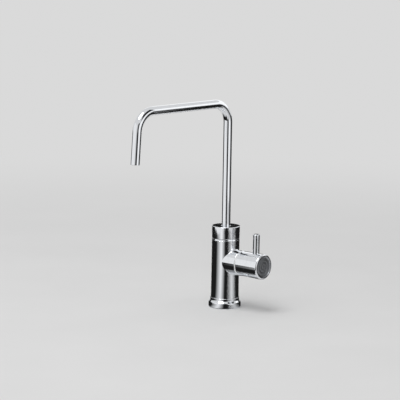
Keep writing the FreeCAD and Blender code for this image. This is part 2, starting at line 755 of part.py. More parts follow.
# Inlet washer: fibre ring between the nipple and the shank
inlet_washer_outline = tube_outline(
    "nipple_thread / 2 + slip_gap", "nipple_thread / 2 + inlet_washer_width", "inlet_washer_thickness"
)
inlet_washer = place(
    turned("fibre_washer", inlet_washer_outline), up=f"{SHANK_Z} - inlet_washer_thickness"
)
subpart(inlet_washer, "inlet_washer")

# Seat seal: rubber ring in the cartridge's end, pressed on the valve seat
seat_seal_r = f"({CUP_BORE_R} - push_gap)"
seat_seal_outline = tube_outline(f"{seat_seal_r} - seat_seal_width", seat_seal_r, "seat_seal_thickness")
subpart(on_barrel(turned("seat_seal", seat_seal_outline), SEAT_X), "cartridge_seat_seal")


def port_tool(name, along_axis, turn):
    """Two opposite sectors that cut the water ports of a valve disc."""
    length = f"disc_thickness + 2 * {CUT_PAST}"
    sectors = []
    for number, start in enumerate((turn, turn + HALF_TURN_DEG)):
        sector = cylinder(f"{name}_sector_{number}", f"{DISC_R} - port_margin", length)
        bind(sector, "Angle", "port_angle")
        spin = FreeCAD.Rotation(X_AXIS, start - amount("port_angle") / 2)
        lie = FreeCAD.Rotation(Y_AXIS, QUARTER_TURN_DEG)
        place(sector, across=f"{along_axis} - {CUT_PAST}", up=AXIS_Z, turn=[spin.multiply(lie)])
        sectors.append(sector)
    core = cylinder(f"{name}_core", "port_core", length)
    on_barrel(core, f"{along_axis} - {CUT_PAST}")
    return cut(f"{name}_tool", fuse(f"{name}_pair", *sectors), core)


# Fixed disc: ceramic, keyed in the housing, with its two ports left and right
fixed_disc_outline = tube_outline("0", f"{CUP_BORE_R} - push_gap", "disc_thickness")
fixed_blank = on_barrel(turned("fixed_disc_blank", fixed_disc_outline), FIXED_DISC_X)
fixed_ports = port_tool("fixed_ports", FIXED_DISC_X, 0)
subpart(cut("fixed_disc_cut", fixed_blank, fixed_ports), "fixed_ceramic_disc")

# Moving disc: ceramic, a quarter turn from the fixed one at rest, with a slot for its drive key
moving_disc_outline = tube_outline("0", DISC_R, "disc_thickness")
moving_blank = on_barrel(turned("moving_disc_blank", moving_disc_outline), MOVING_DISC_X)
moving_ports = port_tool("moving_ports", MOVING_DISC_X, QUARTER_TURN_DEG)
key_slot_depth = "(drive_key_depth + push_gap)"
key_slot_width = "(drive_key_width + 2 * push_gap)"
key_slot = block("key_slot", f"{key_slot_depth} + {CUT_PAST}", f"2 * {DISC_R}", key_slot_width)
place(
    key_slot,
    across=f"{DRIVE_PLATE_X} - {key_slot_depth}",
    along=f"-{DISC_R}",
    up=f"{AXIS_Z} - {key_slot_width} / 2",
)
subpart(cut("moving_disc_cut", moving_blank, moving_ports, key_slot), "moving_ceramic_disc")


# Cartridge housing: brass cup around the discs, with a lip that seats in the body and a long neck
def build_cartridge_housing():
    start = f"({SEAT_X} + seat_seal_proud)"
    land_r = f"({CHAMBER_R} - push_gap)"
    seal_floor_r = f"({CHAMBER_R} - cartridge_seal_section - 2 * seal_gap)"
    cup_depth = f"({CUP_FLOOR_X} - {start})"
    lip_start = f"({LIP_X} - {start})"
    lip_end = f"({NUT_X} - {start})"
    neck_end = f"({NECK_END_X} - {start})"
    groove_half = "((cartridge_seal_section + o_ring_slack) / 2)"
    groove_middle = f"({cup_depth} + housing_end_wall / 2)"
    lip_r = f"({CHAMBER_R} + housing_lip)"
    body = turned(
        "housing_turned",
        [
            (CUP_BORE_R, "0"),
            (CUP_R, "0"),
            (CUP_R, cup_depth),
            (land_r, cup_depth),
            (land_r, f"{groove_middle} - {groove_half}"),
            (seal_floor_r, f"{groove_middle} - {groove_half}"),
            (seal_floor_r, f"{groove_middle} + {groove_half}"),
            (land_r, f"{groove_middle} + {groove_half}"),
            (land_r, lip_start),
            (lip_r, lip_start),
            (lip_r, lip_end),
            (HOUSING_NECK_R, lip_end),
            (HOUSING_NECK_R, neck_end),
            (f"{STEM_R} + running_gap", neck_end),
            (f"{STEM_R} + running_gap", cup_depth),
            (CUP_BORE_R, cup_depth),
        ],
    )
    on_barrel(body, start)
    window = block("housing_window", "window_length", "window_width", f"2 * {CHAMBER_R}")
    place(
        window,
        across=f"{CUP_FLOOR_X} - window_length",
        along="-window_width / 2",
        up=f"{AXIS_Z} - {CHAMBER_R}",
    )
    subpart(cut("housing_cut", body, window), "cartridge_housing")


build_cartridge_housing()

# Cartridge seal: rubber ring between the housing's land and the body
cartridge_seal = o_ring(
    "cartridge_seal",
    f"{CHAMBER_R} - seal_gap - cartridge_seal_section / 2",
    "cartridge_seal_section",
)
on_barrel(cartridge_seal, f"{CUP_FLOOR_X} + housing_end_wall / 2")
subpart(cartridge_seal, "cartridge_o_ring")


# Cartridge nut: brass, screwed into the boss on to the housing's lip
def build_cartridge_nut():
    bore = f"({HOUSING_NECK_R} + screw_gap)"
    sleeve_outline = tube_outline(bore, CARTRIDGE_THREAD_R, f"{HEX_X} - {NUT_X}")
    sleeve = on_barrel(turned("cartridge_nut_sleeve", sleeve_outline), NUT_X)
    flats = f"{CARTRIDGE_THREAD_R} * {HALF_FLATS}"
    prism = hexagon("cartridge_nut_prism", flats, "cartridge_nut_hex_height")
    on_barrel(prism, HEX_X)
    hole = cylinder("cartridge_nut_hole", bore, "cartridge_nut_hex_height")
    on_barrel(hole, HEX_X)
    head = cut("cartridge_nut_head", prism, hole)
    subpart(fuse("cartridge_nut_joined", sleeve, head), "cartridge_nut")


build_cartridge_nut()


# Spindle: brass, with a drive plate and key at the discs and a square end for the handle
def build_spindle():
    plate = "drive_plate_thickness"
    seal_floor_r = f"({STEM_R} + running_gap - stem_seal_section - 2 * seal_gap)"
    seal_middle = f"({NECK_END_X} - stem_seal_setback - {DRIVE_PLATE_X})"
    seal_half = "((stem_seal_section + o_ring_slack) / 2)"
    clip_start = f"({CLIP_X} - {DRIVE_PLATE_X})"
    clip_end = f"({clip_start} + clip_thickness + face_gap)"
    stem_end = f"({DRIVE_X} - {DRIVE_PLATE_X})"
    stem = turned(
        "spindle_stem",
        [
            ("0", "0"),
            (DISC_R, "0"),
            (DISC_R, plate),
            (STEM_R, plate),
            (STEM_R, f"{seal_middle} - {seal_half}"),
            (seal_floor_r, f"{seal_middle} - {seal_half}"),
            (seal_floor_r, f"{seal_middle} + {seal_half}"),
            (STEM_R, f"{seal_middle} + {seal_half}"),
            (STEM_R, clip_start),
            (f"{STEM_R} - clip_groove_depth", clip_start),
            (f"{STEM_R} - clip_groove_depth", clip_end),
            (STEM_R, clip_end),
            (STEM_R, stem_end),
            ("0", stem_end),
        ],
    )
    on_barrel(stem, DRIVE_PLATE_X)
    key_half = f"({DISC_R} - cup_wall)"
    key_height = f"drive_key_depth + {plate} / 2"
    key = block("spindle_key", key_height, f"2 * {key_half}", "drive_key_width")
    place(
        key,
        across=f"{DRIVE_PLATE_X} - drive_key_depth",
        along=f"-{key_half}",
        up=f"{AXIS_Z} - drive_key_width / 2",
    )
    square_length = f"({HUB_FLOOR_X} - face_gap - {DRIVE_X})"
    square = block("spindle_square", f"{square_length} + slip_gap", DRIVE_SIDE, DRIVE_SIDE)
    place(
        square,
        across=f"{DRIVE_X} - slip_gap",
        along=f"-{DRIVE_SIDE} / 2",
        up=f"{AXIS_Z} - {DRIVE_SIDE} / 2",
    )
    tapped = cylinder("spindle_tapping", "screw_diameter / 2 + screw_gap", f"screw_length + {CUT_PAST}")
    on_barrel(tapped, f"{SCREW_X} - screw_length - face_gap")
    solid = fuse("spindle_solid", stem, key, square)
    subpart(cut("spindle_tapped", solid, tapped), "cartridge_spindle")


build_spindle()

# Stem seal: small rubber ring in the spindle's groove
stem_seal = o_ring(
    "stem_seal", f"{STEM_R} + running_gap - seal_gap - stem_seal_section / 2", "stem_seal_section"
)
subpart(on_barrel(stem_seal, f"{NECK_END_X} - stem_seal_setback"), "spindle_o_ring")

# Spindle clip: open spring ring that keeps the spindle in the housing
clip_bore_r = f"({STEM_R} - clip_groove_depth + push_gap)"
clip_outline = tube_outline(clip_bore_r, f"{clip_bore_r} + clip_width", "clip_thickness")
clip_ring = on_barrel(turned("clip_ring", clip_outline), CLIP_X)
clip_gap = block("clip_gap", "clip_thickness", "clip_opening", f"{clip_bore_r} + clip_width")
place(clip_gap, across=CLIP_X, along="-clip_opening / 2", up=f"{AXIS_Z} - {clip_bore_r} - clip_width")
subpart(cut("clip_open", clip_ring, clip_gap), "spindle_clip")

# Glide ring: plastic ring in the seam, sleeved into the boss, that the handle turns against
glide_outline = [
    (GLIDE_BORE_R, "0"),
    (GLIDE_SLEEVE_R, "0"),
    (GLIDE_SLEEVE_R, "glide_sleeve_length"),
    (f"{BARREL_R} - ring_inset", "glide_sleeve_length"),
    (f"{BARREL_R} - ring_inset", "glide_sleeve_length + glide_ring_thickness"),
    (GLIDE_BORE_R, "glide_sleeve_length + glide_ring_thickness"),
]
glide_ring = on_barrel(turned("glide_ring", glide_outline), f"{HEX_X} - glide_sleeve_length")
subpart(glide_ring, "handle_glide_ring")


# Handle barrel: chromed sleeve with a web inside that carries the hub and the lever
def build_handle_barrel():
    skirt_r = f"({BARREL_R} - handle_wall)"
    hub_floor = "(handle_skirt_depth + hub_depth)"
    recess_floor = f"({hub_floor} + hub_wall)"
    web_end = f"({recess_floor} + screw_recess)"
    ledge = f"({web_end} + cap_cavity)"
    recess_r = "(screw_head_diameter / 2 + slip_gap)"
    hole_r = "(screw_diameter / 2 + slip_gap)"
    body = turned(
        "handle_turned",
        [
            (skirt_r, "0"),
            (BARREL_R, "0", "edge_round"),
            (BARREL_R, HANDLE_LENGTH, "handle_end_round"),
            (CAP_R, HANDLE_LENGTH),
            (CAP_R, ledge),
            (f"{CAP_R} - cap_ledge", ledge),
            (f"{CAP_R} - cap_ledge", web_end),
            (recess_r, web_end),
            (recess_r, recess_floor),
            (hole_r, recess_floor),
            (hole_r, hub_floor),
            (HUB_R, hub_floor),
            (HUB_R, "handle_skirt_depth"),
            (skirt_r, "handle_skirt_depth"),
        ],
    )
    on_barrel(body, HANDLE_X)
    seat = cylinder("lever_seat", "lever_diameter / 2 + push_gap", f"spot_depth + {CUT_PAST}")
    place(seat, across=LEVER_X, up=f"{AXIS_Z} + {BARREL_R} - spot_depth")
    tapping_r = "lever_stud_diameter / 2 + screw_gap"
    tapping_depth = f"({LEVER_STUD_LENGTH} + face_gap)"
    tapping = cylinder("lever_tapping", tapping_r, f"{tapping_depth} + {CUT_PAST}")
    place(tapping, across=LEVER_X, up=f"{AXIS_Z} + {BARREL_R} - spot_depth - {tapping_depth}")
    subpart(cut("handle_drilled", body, seat, tapping), "handle_barrel")


build_handle_barrel()


# Handle adaptor: plastic sleeve in the hub with a square hole for the spindle
def build_handle_adaptor():
    sleeve = on_barrel(turned("adaptor_sleeve", tube_outline("0", ADAPTOR_R, "hub_depth")), HUB_X)
    side = f"({DRIVE_SIDE} + 2 * push_gap)"
    square = block("adaptor_square", f"hub_depth + 2 * {CUT_PAST}", side, side)
    place(
        square,
        across=f"{HUB_X} - {CUT_PAST}",
        along=f"-{side} / 2",
        up=f"{AXIS_Z} - {side} / 2",
    )
    subpart(cut("adaptor_cut", sleeve, square), "handle_adaptor")


build_handle_adaptor()

# Handle screw: steel socket screw that pulls the handle on to the spindle
screw_outline = [
    ("0", "0"),
    ("screw_diameter / 2", "0"),
    ("screw_diameter / 2", "screw_length"),
    ("screw_head_diameter / 2", "screw_length"),
    ("screw_head_diameter / 2", "screw_length + screw_head_height"),
    ("0", "screw_length + screw_head_height"),
]
screw_blank = on_barrel(turned("screw_blank", screw_outline), f"{SCREW_X} - screw_length")
screw_socket = hexagon("screw_socket", "screw_key / 2", f"screw_head_height / 2 + {CUT_PAST}")
on_barrel(screw_socket, f"{SCREW_X} + screw_head_height / 2")
subpart(cut("screw_cut", screw_blank, screw_socket), "handle_screw")

# Handle cap: disc pushed into the handle's end, its face turned in round waves
cap_outer_r = f"({CAP_R} - push_gap)"
wave_pitch = f"({cap_outer_r} / {CAP_WAVE_COUNT})"
cap_outline = [("0", "0"), (cap_outer_r, "0"), (cap_outer_r, "cap_thickness")]
for wave in range(CAP_WAVE_COUNT, 0, -1):
    trough = f"({wave} - 0.5) * {wave_pitch}"
    cap_outline.append((trough, "cap_thickness - cap_wave_depth", "cap_wave_round"))
    if wave > 1:
        cap_outline.append((f"{wave - 1} * {wave_pitch}", "cap_thickness", "cap_wave_round"))
cap_outline.append(("0", "cap_thickness"))
subpart(on_barrel(turned("cap", cap_outline), CAP_X), "handle_cap")

# Lever pin: chromed brass pin with a rounded top, screwed into the handle's web
lever_outline = [
    ("0", "0"),
    ("lever_stud_diameter / 2", "0"),
    ("lever_stud_diameter / 2", LEVER_STUD_LENGTH),
    ("lever_diameter / 2", LEVER_STUD_LENGTH),
    ("lever_diameter / 2", f"{LEVER_STUD_LENGTH} + lever_length", "lever_round"),
    ("0", f"{LEVER_STUD_LENGTH} + lever_length"),
]
lever_foot = f"{AXIS_Z} + {BARREL_R} - spot_depth - {LEVER_STUD_LENGTH}"
subpart(place(turned("lever", lever_outline), across=LEVER_X, up=lever_foot), "lever_pin")

doc.recompute()

failed = [thing.Name for thing in doc.Objects if {"Invalid", "Error"} & set(thing.State)]
if failed:
    raise RuntimeError(f"not rebuilt: {failed}")
for thing in subparts:
    if thing.Shape.isNull() or not thing.Shape.isValid():
        raise RuntimeError(f"bad solid: {thing.Label}")

os.makedirs("parts", exist_ok=True)
for thing in subparts:
    thing.Shape.exportStep(f"parts/{thing.Label}.step")
    print(thing.Label, len(thing.Shape.Solids), round(thing.Shape.Volume, 1))
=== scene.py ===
import math

import bmesh
import bpy
from mathutils import Matrix, Vector


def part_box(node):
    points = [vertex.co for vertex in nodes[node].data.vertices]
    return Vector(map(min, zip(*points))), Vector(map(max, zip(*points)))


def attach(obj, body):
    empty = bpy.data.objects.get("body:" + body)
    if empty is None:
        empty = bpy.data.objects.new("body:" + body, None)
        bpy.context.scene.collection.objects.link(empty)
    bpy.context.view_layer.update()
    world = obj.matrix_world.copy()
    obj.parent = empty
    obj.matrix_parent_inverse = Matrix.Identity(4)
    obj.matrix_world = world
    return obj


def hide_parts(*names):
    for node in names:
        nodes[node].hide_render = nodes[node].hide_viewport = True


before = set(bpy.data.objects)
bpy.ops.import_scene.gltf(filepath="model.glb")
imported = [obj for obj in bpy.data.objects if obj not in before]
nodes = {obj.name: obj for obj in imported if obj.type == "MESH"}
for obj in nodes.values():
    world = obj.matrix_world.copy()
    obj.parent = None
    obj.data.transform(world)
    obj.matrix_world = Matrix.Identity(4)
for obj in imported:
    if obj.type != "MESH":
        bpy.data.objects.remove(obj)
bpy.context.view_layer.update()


# Valve body: a brass casting, turned and bored, with the valve's boss run into its side by a small fillet.
# It is buffed bright and chromed, so it keeps faint long waves from the wheel and a thin haze of wiping.
TEXTURE_LOW = 0.3
TEXTURE_HIGH = 0.7


def new_material(name):
    """A fresh material, with its node tree and its shader."""
    material = bpy.data.materials.new(name)
    material.use_nodes = True
    return material, material.node_tree, material.node_tree.nodes["Principled BSDF"]


def noise(tree, scale, detail, stretch=(1, 1, 1)):
    """Cloudy values in the piece's own metres, drawn out along the axes where stretch is small."""
    place = tree.nodes.new("ShaderNodeTexCoord")
    mapping = tree.nodes.new("ShaderNodeMapping")
    cloud = tree.nodes.new("ShaderNodeTexNoise")
    mapping.inputs["Scale"].default_value = stretch
    cloud.inputs["Scale"].default_value = scale
    cloud.inputs["Detail"].default_value = detail
    tree.links.new(place.outputs["Object"], mapping.inputs["Vector"])
    tree.links.new(mapping.outputs["Vector"], cloud.inputs["Vector"])
    return cloud.outputs["Fac"]


def spread(tree, values, low, high, start=TEXTURE_LOW, end=TEXTURE_HIGH):
    """Stretch the values between start and end, where most of a texture's lie, over low to high."""
    reach = tree.nodes.new("ShaderNodeMapRange")
    reach.inputs["From Min"].default_value = start
    reach.inputs["From Max"].default_value = end
    reach.inputs["To Min"].default_value = low
    reach.inputs["To Max"].default_value = high
    tree.links.new(values, reach.inputs["Value"])
    return reach.outputs["Result"]


def tint(tree, shader, values, dark, light):
    """Let the colour go from dark to light with a texture's values."""
    ramp = tree.nodes.new("ShaderNodeValToRGB")
    ramp.color_ramp.elements[0].position = TEXTURE_LOW
    ramp.color_ramp.elements[1].position = TEXTURE_HIGH
    ramp.color_ramp.elements[0].color = (*dark, 1)
    ramp.color_ramp.elements[1].color = (*light, 1)
    tree.links.new(values, ramp.inputs["Fac"])
    tree.links.new(ramp.outputs["Color"], shader.inputs["Base Color"])


def roughen(tree, shader, values, low, high):
    """Let the roughness go from low to high with a texture's values."""
    tree.links.new(spread(tree, values, low, high), shader.inputs["Roughness"])


def emboss(tree, shader, values, strength, depth):
    """Let a texture's values stand up from the surface by up to depth metres."""
    relief = tree.nodes.new("ShaderNodeBump")
    relief.inputs["Strength"].default_value = strength
    relief.inputs["Distance"].default_value = depth
    tree.links.new(values, relief.inputs["Height"])
    tree.links.new(relief.outputs["Normal"], shader.inputs["Normal"])


def polished_chrome(name):
    material, tree, plate = new_material(name)
    buffing = noise(tree, scale=30, detail=1.0)
    wiping = noise(tree, scale=260, detail=4.0, stretch=(1, 1, 0.2))
    plate.inputs["Metallic"].default_value = 1.0
    tint(tree, plate, wiping, dark=(0.85, 0.87, 0.90), light=(0.91, 0.93, 0.96))
    roughen(tree, plate, wiping, low=0.03, high=0.075)
    emboss(tree, plate, buffing, strength=0.01, depth=0.0004)
    return material


def dress(material, *names):
    """Give carried-over solids a finish."""
    for name in names:
        for slot in nodes[name].material_slots:
            slot.material = material


chrome = polished_chrome("polished_chrome_plate")
dress(chrome, "valve_body")


# Valve cartridge: a brass housing, nut and spindle turned from bar, with a spring-steel clip on the stem.
# Two lapped ceramic discs shut the water off, and black rubber rings seal the seat, land and stem.
def turned_brass(name, lathe_axis):
    material, tree, brass = new_material(name)
    place = tree.nodes.new("ShaderNodeTexCoord")
    tool_marks = tree.nodes.new("ShaderNodeTexWave")
    tool_marks.bands_direction = lathe_axis
    tool_marks.inputs["Scale"].default_value = 700
    tool_marks.inputs["Distortion"].default_value = 0.6
    tree.links.new(place.outputs["Object"], tool_marks.inputs["Vector"])
    tarnish = noise(tree, scale=180, detail=4.0)
    brass.inputs["Metallic"].default_value = 1.0
    tint(tree, brass, tarnish, dark=(0.56, 0.41, 0.18), light=(0.78, 0.62, 0.33))
    roughen(tree, brass, tarnish, low=0.22, high=0.42)
    emboss(tree, brass, tool_marks.outputs["Fac"], strength=0.25, depth=0.00002)
    return material


def moulded_rubber(name):
    material, tree, rubber = new_material(name)
    bloom = noise(tree, scale=150, detail=5.0)
    grain = noise(tree, scale=2600, detail=2.0)
    tint(tree, rubber, bloom, dark=(0.012, 0.012, 0.013), light=(0.040, 0.040, 0.042))
    roughen(tree, rubber, bloom, low=0.55, high=0.85)
    emboss(tree, rubber, grain, strength=0.3, depth=0.00004)
    return material


def lapped_ceramic(name):
    material, tree, ceramic = new_material(name)
    grain = noise(tree, scale=900, detail=3.0)
    tint(tree, ceramic, grain, dark=(0.80, 0.79, 0.75), light=(0.90, 0.89, 0.87))
    roughen(tree, ceramic, grain, low=0.10, high=0.22)
    emboss(tree, ceramic, grain, strength=0.1, depth=0.00001)
    return material


def brushed_steel(name, stretch):
    material, tree, steel = new_material(name)
    brushing = noise(tree, scale=1500, detail=3.0, stretch=stretch)
    steel.inputs["Metallic"].default_value = 1.0
    tint(tree, steel, brushing, dark=(0.46, 0.47, 0.48), light=(0.66, 0.67, 0.68))
    roughen(tree, steel, brushing, low=0.22, high=0.40)
    emboss(tree, steel, brushing, strength=0.2, depth=0.00002)
    return material


sideways_brass = turned_brass("turned_brass_across", "X")
black_rubber = moulded_rubber("black_rubber")
dress(sideways_brass, "cartridge_housing", "cartridge_nut", "cartridge_spindle")
dress(lapped_ceramic("lapped_ceramic"), "fixed_ceramic_disc", "moving_ceramic_disc")
dress(black_rubber, "cartridge_seat_seal", "cartridge_o_ring", "spindle_o_ring")
dress(brushed_steel("spring_steel", stretch=(0.1, 1, 1)), "spindle_clip")


# Glide ring: a white acetal ring sleeved into the boss, which keeps the turning handle off the chrome.
# It is moulded in one piece and shows as a hairline in the seam.
def moulded_acetal(name):
    material, tree, acetal = new_material(name)
    flow = noise(tree, scale=220, detail=3.0)
    tint(tree, acetal, flow, dark=(0.82, 0.82, 0.81), light=(0.90, 0.90, 0.89))
    roughen(tree, acetal, flow, low=0.32, high=0.48)
    acetal.inputs["Subsurface Weight"].default_value = 0.15
    acetal.inputs["Subsurface Radius"].default_value = (0.001, 0.001, 0.001)
    emboss(tree, acetal, flow, strength=0.1, depth=0.00003)
    return material


white_acetal = moulded_acetal("white_acetal")
dress(white_acetal, "handle_glide_ring")


# Handle drive: an acetal sleeve with a square hole, pushed into the handle's hub and over the spindle.
# A steel socket screw pulls the handle on from its outer end.
dress(white_acetal, "handle_adaptor")
dress(brushed_steel("screw_steel", stretch=(1, 0.2, 0.2)), "handle_screw")


# Handle barrel: a chromed brass sleeve of the boss's own diameter, turned from bar with a web inside.
# Both rims are rounded, and a flat is spot-faced on top for the lever's foot.
TURN_STEPS = 160
NEAR = 1e-5
SMOOTH_ANGLE = math.radians(35)


def start_fresh():
    """Leave edit mode with nothing selected, ready for another piece."""
    if bpy.context.object and bpy.context.object.mode == "EDIT":
        bpy.ops.object.mode_set(mode="OBJECT")
    bpy.ops.object.select_all(action="DESELECT")


def turned(name, outline, hollow=True):
    """Raise a round piece from a circle, ring by ring, through (radius, height) points about Z."""
    start_fresh()
    radius, height = outline[0]
    bpy.ops.mesh.primitive_circle_add(vertices=TURN_STEPS, radius=radius, enter_editmode=True)
    piece = bpy.context.object
    piece.name = name
    piece.data.name = name
    bpy.ops.mesh.select_mode(type="EDGE")
    bpy.ops.transform.translate(value=(0, 0, height))
    for next_radius, next_height in outline[1:]:
        lift = (0, 0, next_height - height)
        growth = next_radius / radius
        bpy.ops.mesh.extrude_region_move(TRANSFORM_OT_translate={"value": lift})
        bpy.ops.transform.resize(value=(growth, growth, 1), center_override=(0, 0, next_height))
        radius, height = next_radius, next_height
    bpy.ops.mesh.select_all(action="DESELECT")
    bpy.ops.mesh.select_non_manifold()
    if hollow:
        bpy.ops.mesh.bridge_edge_loops()
    else:
        bpy.ops.mesh.fill_holes(sides=0)
    bpy.ops.mesh.select_all(action="SELECT")
    bpy.ops.mesh.normals_make_consistent(inside=False)
    return piece


def round_rings(piece, rings, size, segments=5):
    """Round the edges that run round a turned piece at these (radius, height) places."""
    bpy.ops.mesh.select_all(action="DESELECT")
    mesh = bmesh.from_edit_mesh(piece.data)
    for edge in mesh.edges:
        ends = [(math.hypot(end.co.x, end.co.y), end.co.z) for end in edge.verts]
        edge.select_set(any(all(math.dist(end, ring) < NEAR for end in ends) for ring in rings))
    bmesh.update_edit_mesh(piece.data)
    bpy.ops.mesh.bevel(offset=size, segments=segments, affect="EDGES")


def select_only(piece):
    """Make a piece the one that the next operators act on."""
    start_fresh()
    piece.select_set(True)
    bpy.context.view_layer.objects.active = piece


def set_in_place(piece, place, turn=(0, 0, 0)):
    """Carry a piece to its place and settle that in its mesh."""
    select_only(piece)
    piece.location = place
    piece.rotation_euler = turn
    bpy.ops.object.transform_apply(location=True, rotation=True, scale=True)


def cut_out(piece, tool):
    """Cut a tool's shape out of a piece and put the tool away."""
    select_only(piece)
    bpy.ops.object.modifier_add(type="BOOLEAN")
    cut = piece.modifiers[-1]
    cut.operation = "DIFFERENCE"
    cut.object = tool
    cut.solver = "EXACT"
    bpy.ops.object.modifier_apply(modifier=cut.name)
    bpy.data.objects.remove(tool)


def finish_piece(piece, material, body, node):
    """Smooth a piece, give it its finish and let it stand for its solid."""
    select_only(piece)
    bpy.ops.object.shade_smooth_by_angle(angle=SMOOTH_ANGLE)
    bpy.ops.object.modifier_add(type="WEIGHTED_NORMAL")
    piece.modifiers[-1].keep_sharp = True
    bpy.ops.object.modifier_apply(modifier=piece.modifiers[-1].name)
    piece.data.materials.clear()
    piece.data.materials.append(material)
    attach(piece, body)
    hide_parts(node)


SIDEWAYS = (0, math.pi / 2, 0)
EDGE_ROUND = 0.0008
LIP_ROUND = 0.0002
END_ROUND = 0.0022
SKIRT_WALL = 0.0025
CAP_SEAT = 0.0015
CAP_CAVITY = 0.0057
SCREW_HOLE_R = 0.0024
LEVER_SEAT = 0.0008
CUTTER_LENGTH = 0.01
barrel_low, barrel_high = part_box("handle_barrel")
cap_low, cap_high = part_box("handle_cap")
adaptor_low, adaptor_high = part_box("handle_adaptor")
lever_low, lever_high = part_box("lever_pin")
axis_z = (cap_low.z + cap_high.z) / 2
barrel_r = barrel_high.y
barrel_length = barrel_high.x - barrel_low.x
skirt_r = barrel_r - SKIRT_WALL
cap_r = cap_high.y
cap_ledge = cap_low.x - barrel_low.x
cap_seat_r = cap_r - CAP_SEAT
web_end = cap_ledge - CAP_CAVITY
hub_r = adaptor_high.y
hub_mouth = adaptor_low.x - barrel_low.x
hub_floor = adaptor_high.x - barrel_low.x
lever_x = (lever_low.x + lever_high.x) / 2
lever_r = (lever_high.x - lever_low.x) / 2
lever_shoulder = axis_z + barrel_r - LEVER_SEAT

handle = turned(
    "chromed_handle_barrel",
    [
        (skirt_r, 0),
        (barrel_r, 0),
        (barrel_r, barrel_length),
        (cap_r, barrel_length),
        (cap_r, cap_ledge),
        (cap_seat_r, cap_ledge),
        (cap_seat_r, web_end),
        (SCREW_HOLE_R, web_end),
        (SCREW_HOLE_R, hub_floor),
        (hub_r, hub_floor),
        (hub_r, hub_mouth),
        (skirt_r, hub_mouth),
    ],
)
round_rings(handle, [(barrel_r, 0)], EDGE_ROUND)
round_rings(handle, [(barrel_r, barrel_length)], END_ROUND, segments=8)
round_rings(handle, [(cap_r, barrel_length), (skirt_r, 0)], LIP_ROUND, segments=2)
set_in_place(handle, (barrel_low.x, 0, axis_z), SIDEWAYS)
bpy.ops.mesh.primitive_cylinder_add(
    vertices=TURN_STEPS,
    radius=lever_r,
    depth=CUTTER_LENGTH,
    location=(lever_x, 0, lever_shoulder + CUTTER_LENGTH / 2),
)
cut_out(handle, bpy.context.object)
finish_piece(handle, chrome, "handle", "handle_barrel")


# Handle cap: a brass disc faced on the lathe in round waves, satin chromed, and pushed into the end.
# The waves and the fine tool rings on them draw the light out into arcs.
def turned_face_chrome(name):
    material, tree, face = new_material(name)
    place = tree.nodes.new("ShaderNodeTexCoord")
    mapping = tree.nodes.new("ShaderNodeMapping")
    tool_rings = tree.nodes.new("ShaderNodeTexWave")
    mapping.inputs["Location"].default_value = (0, 0, -axis_z)
    tool_rings.wave_type = "RINGS"
    tool_rings.rings_direction = "X"
    tool_rings.inputs["Scale"].default_value = 900
    tool_rings.inputs["Distortion"].default_value = 0.4
    tree.links.new(place.outputs["Object"], mapping.inputs["Vector"])
    tree.links.new(mapping.outputs["Vector"], tool_rings.inputs["Vector"])
    wear = noise(tree, scale=160, detail=4.0)
    face.inputs["Metallic"].default_value = 1.0
    tint(tree, face, wear, dark=(0.34, 0.35, 0.37), light=(0.39, 0.40, 0.42))
    roughen(tree, face, wear, low=0.30, high=0.36)
    emboss(tree, face, tool_rings.outputs["Fac"], strength=0.35, depth=0.00003)
    return material


WAVE_COUNT = 3
WAVE_DEPTH = 0.0006
WAVE_ROUND = 0.0011
CENTRE_PIP = 0.0004
cap_thickness = cap_high.x - cap_low.x
wave_pitch = cap_r / WAVE_COUNT
waves = []
for wave in range(WAVE_COUNT, 0, -1):
    waves.append(((wave - 0.5) * wave_pitch, cap_thickness - WAVE_DEPTH))
    waves.append(((wave - 1) * wave_pitch, cap_thickness))
waves[-1] = (CENTRE_PIP, cap_thickness)

cap = turned("turned_handle_cap", [(cap_r, 0), (cap_r, cap_thickness), *waves], hollow=False)
round_rings(cap, waves[:-1], WAVE_ROUND, segments=8)
set_in_place(cap, (cap_low.x, 0, axis_z), SIDEWAYS)
finish_piece(cap, turned_face_chrome("turned_face_chrome"), "handle", "handle_cap")


# Lever: a chromed brass pin with a rounded top, screwed by a stud into the handle's web.
# Turning it a quarter towards the user opens the water.
STUD_R = 0.003
LEVER_TOP_ROUND = 0.0012
lever = turned(
    "chromed_lever_pin",
    [(STUD_R, lever_low.z), (STUD_R, lever_shoulder), (lever_r, lever_shoulder), (lever_r, lever_high.z)],
    hollow=False,
)
round_rings(lever, [(lever_r, lever_high.z)], LEVER_TOP_ROUND, segments=6)
set_in_place(lever, (lever_x, 0, 0))
finish_piece(lever, chrome, "handle", "lever_pin")


# Spout's foot: a brass spigot brazed to the tube, with two rubber rings, that turns in the body's neck.
# It stands on an acetal washer, and an acetal bush above it guides the tube.
upright_brass = turned_brass("turned_brass_upright", "Z")
dress(upright_brass, "spout_spigot")
dress(black_rubber, "spout_o_rings")
dress(white_acetal, "spout_thrust_washer", "spout_bush")


# Spout tube: one length of thin brass tube, drawn round two bends over a former, then polished and chromed.
# Its arm reaches forward and its outlet leg leans out a little, with the cut end rounded over.
TUBE_STEPS = 96
BEND_STEPS = 40
SAME_POINT = 1e-7
TUBE_WALL = 0.001
BEND_R = 0.028
OUTLET_SPLAY = math.radians(4)
OUTLET_DROP = 0.069
OUTLET_ROUND = 0.0003
tube_low, tube_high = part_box("spout_tube")
tube_r = tube_high.y
arm_z = tube_high.z - tube_r
bend_z = arm_z - BEND_R
reach = -tube_low.y - tube_r * math.cos(OUTLET_SPLAY)
leg_turn = math.pi / 2 - OUTLET_SPLAY
corner_y = OUTLET_DROP * math.tan(OUTLET_SPLAY) - reach
corner_run = BEND_R * math.tan(leg_turn / 2)
arm_end_y = corner_y + corner_run
leg_way = Vector((0, -math.sin(OUTLET_SPLAY), -math.cos(OUTLET_SPLAY)))
leg_length = OUTLET_DROP / math.cos(OUTLET_SPLAY) - corner_run
outlet = Vector((0, -reach, arm_z - OUTLET_DROP))

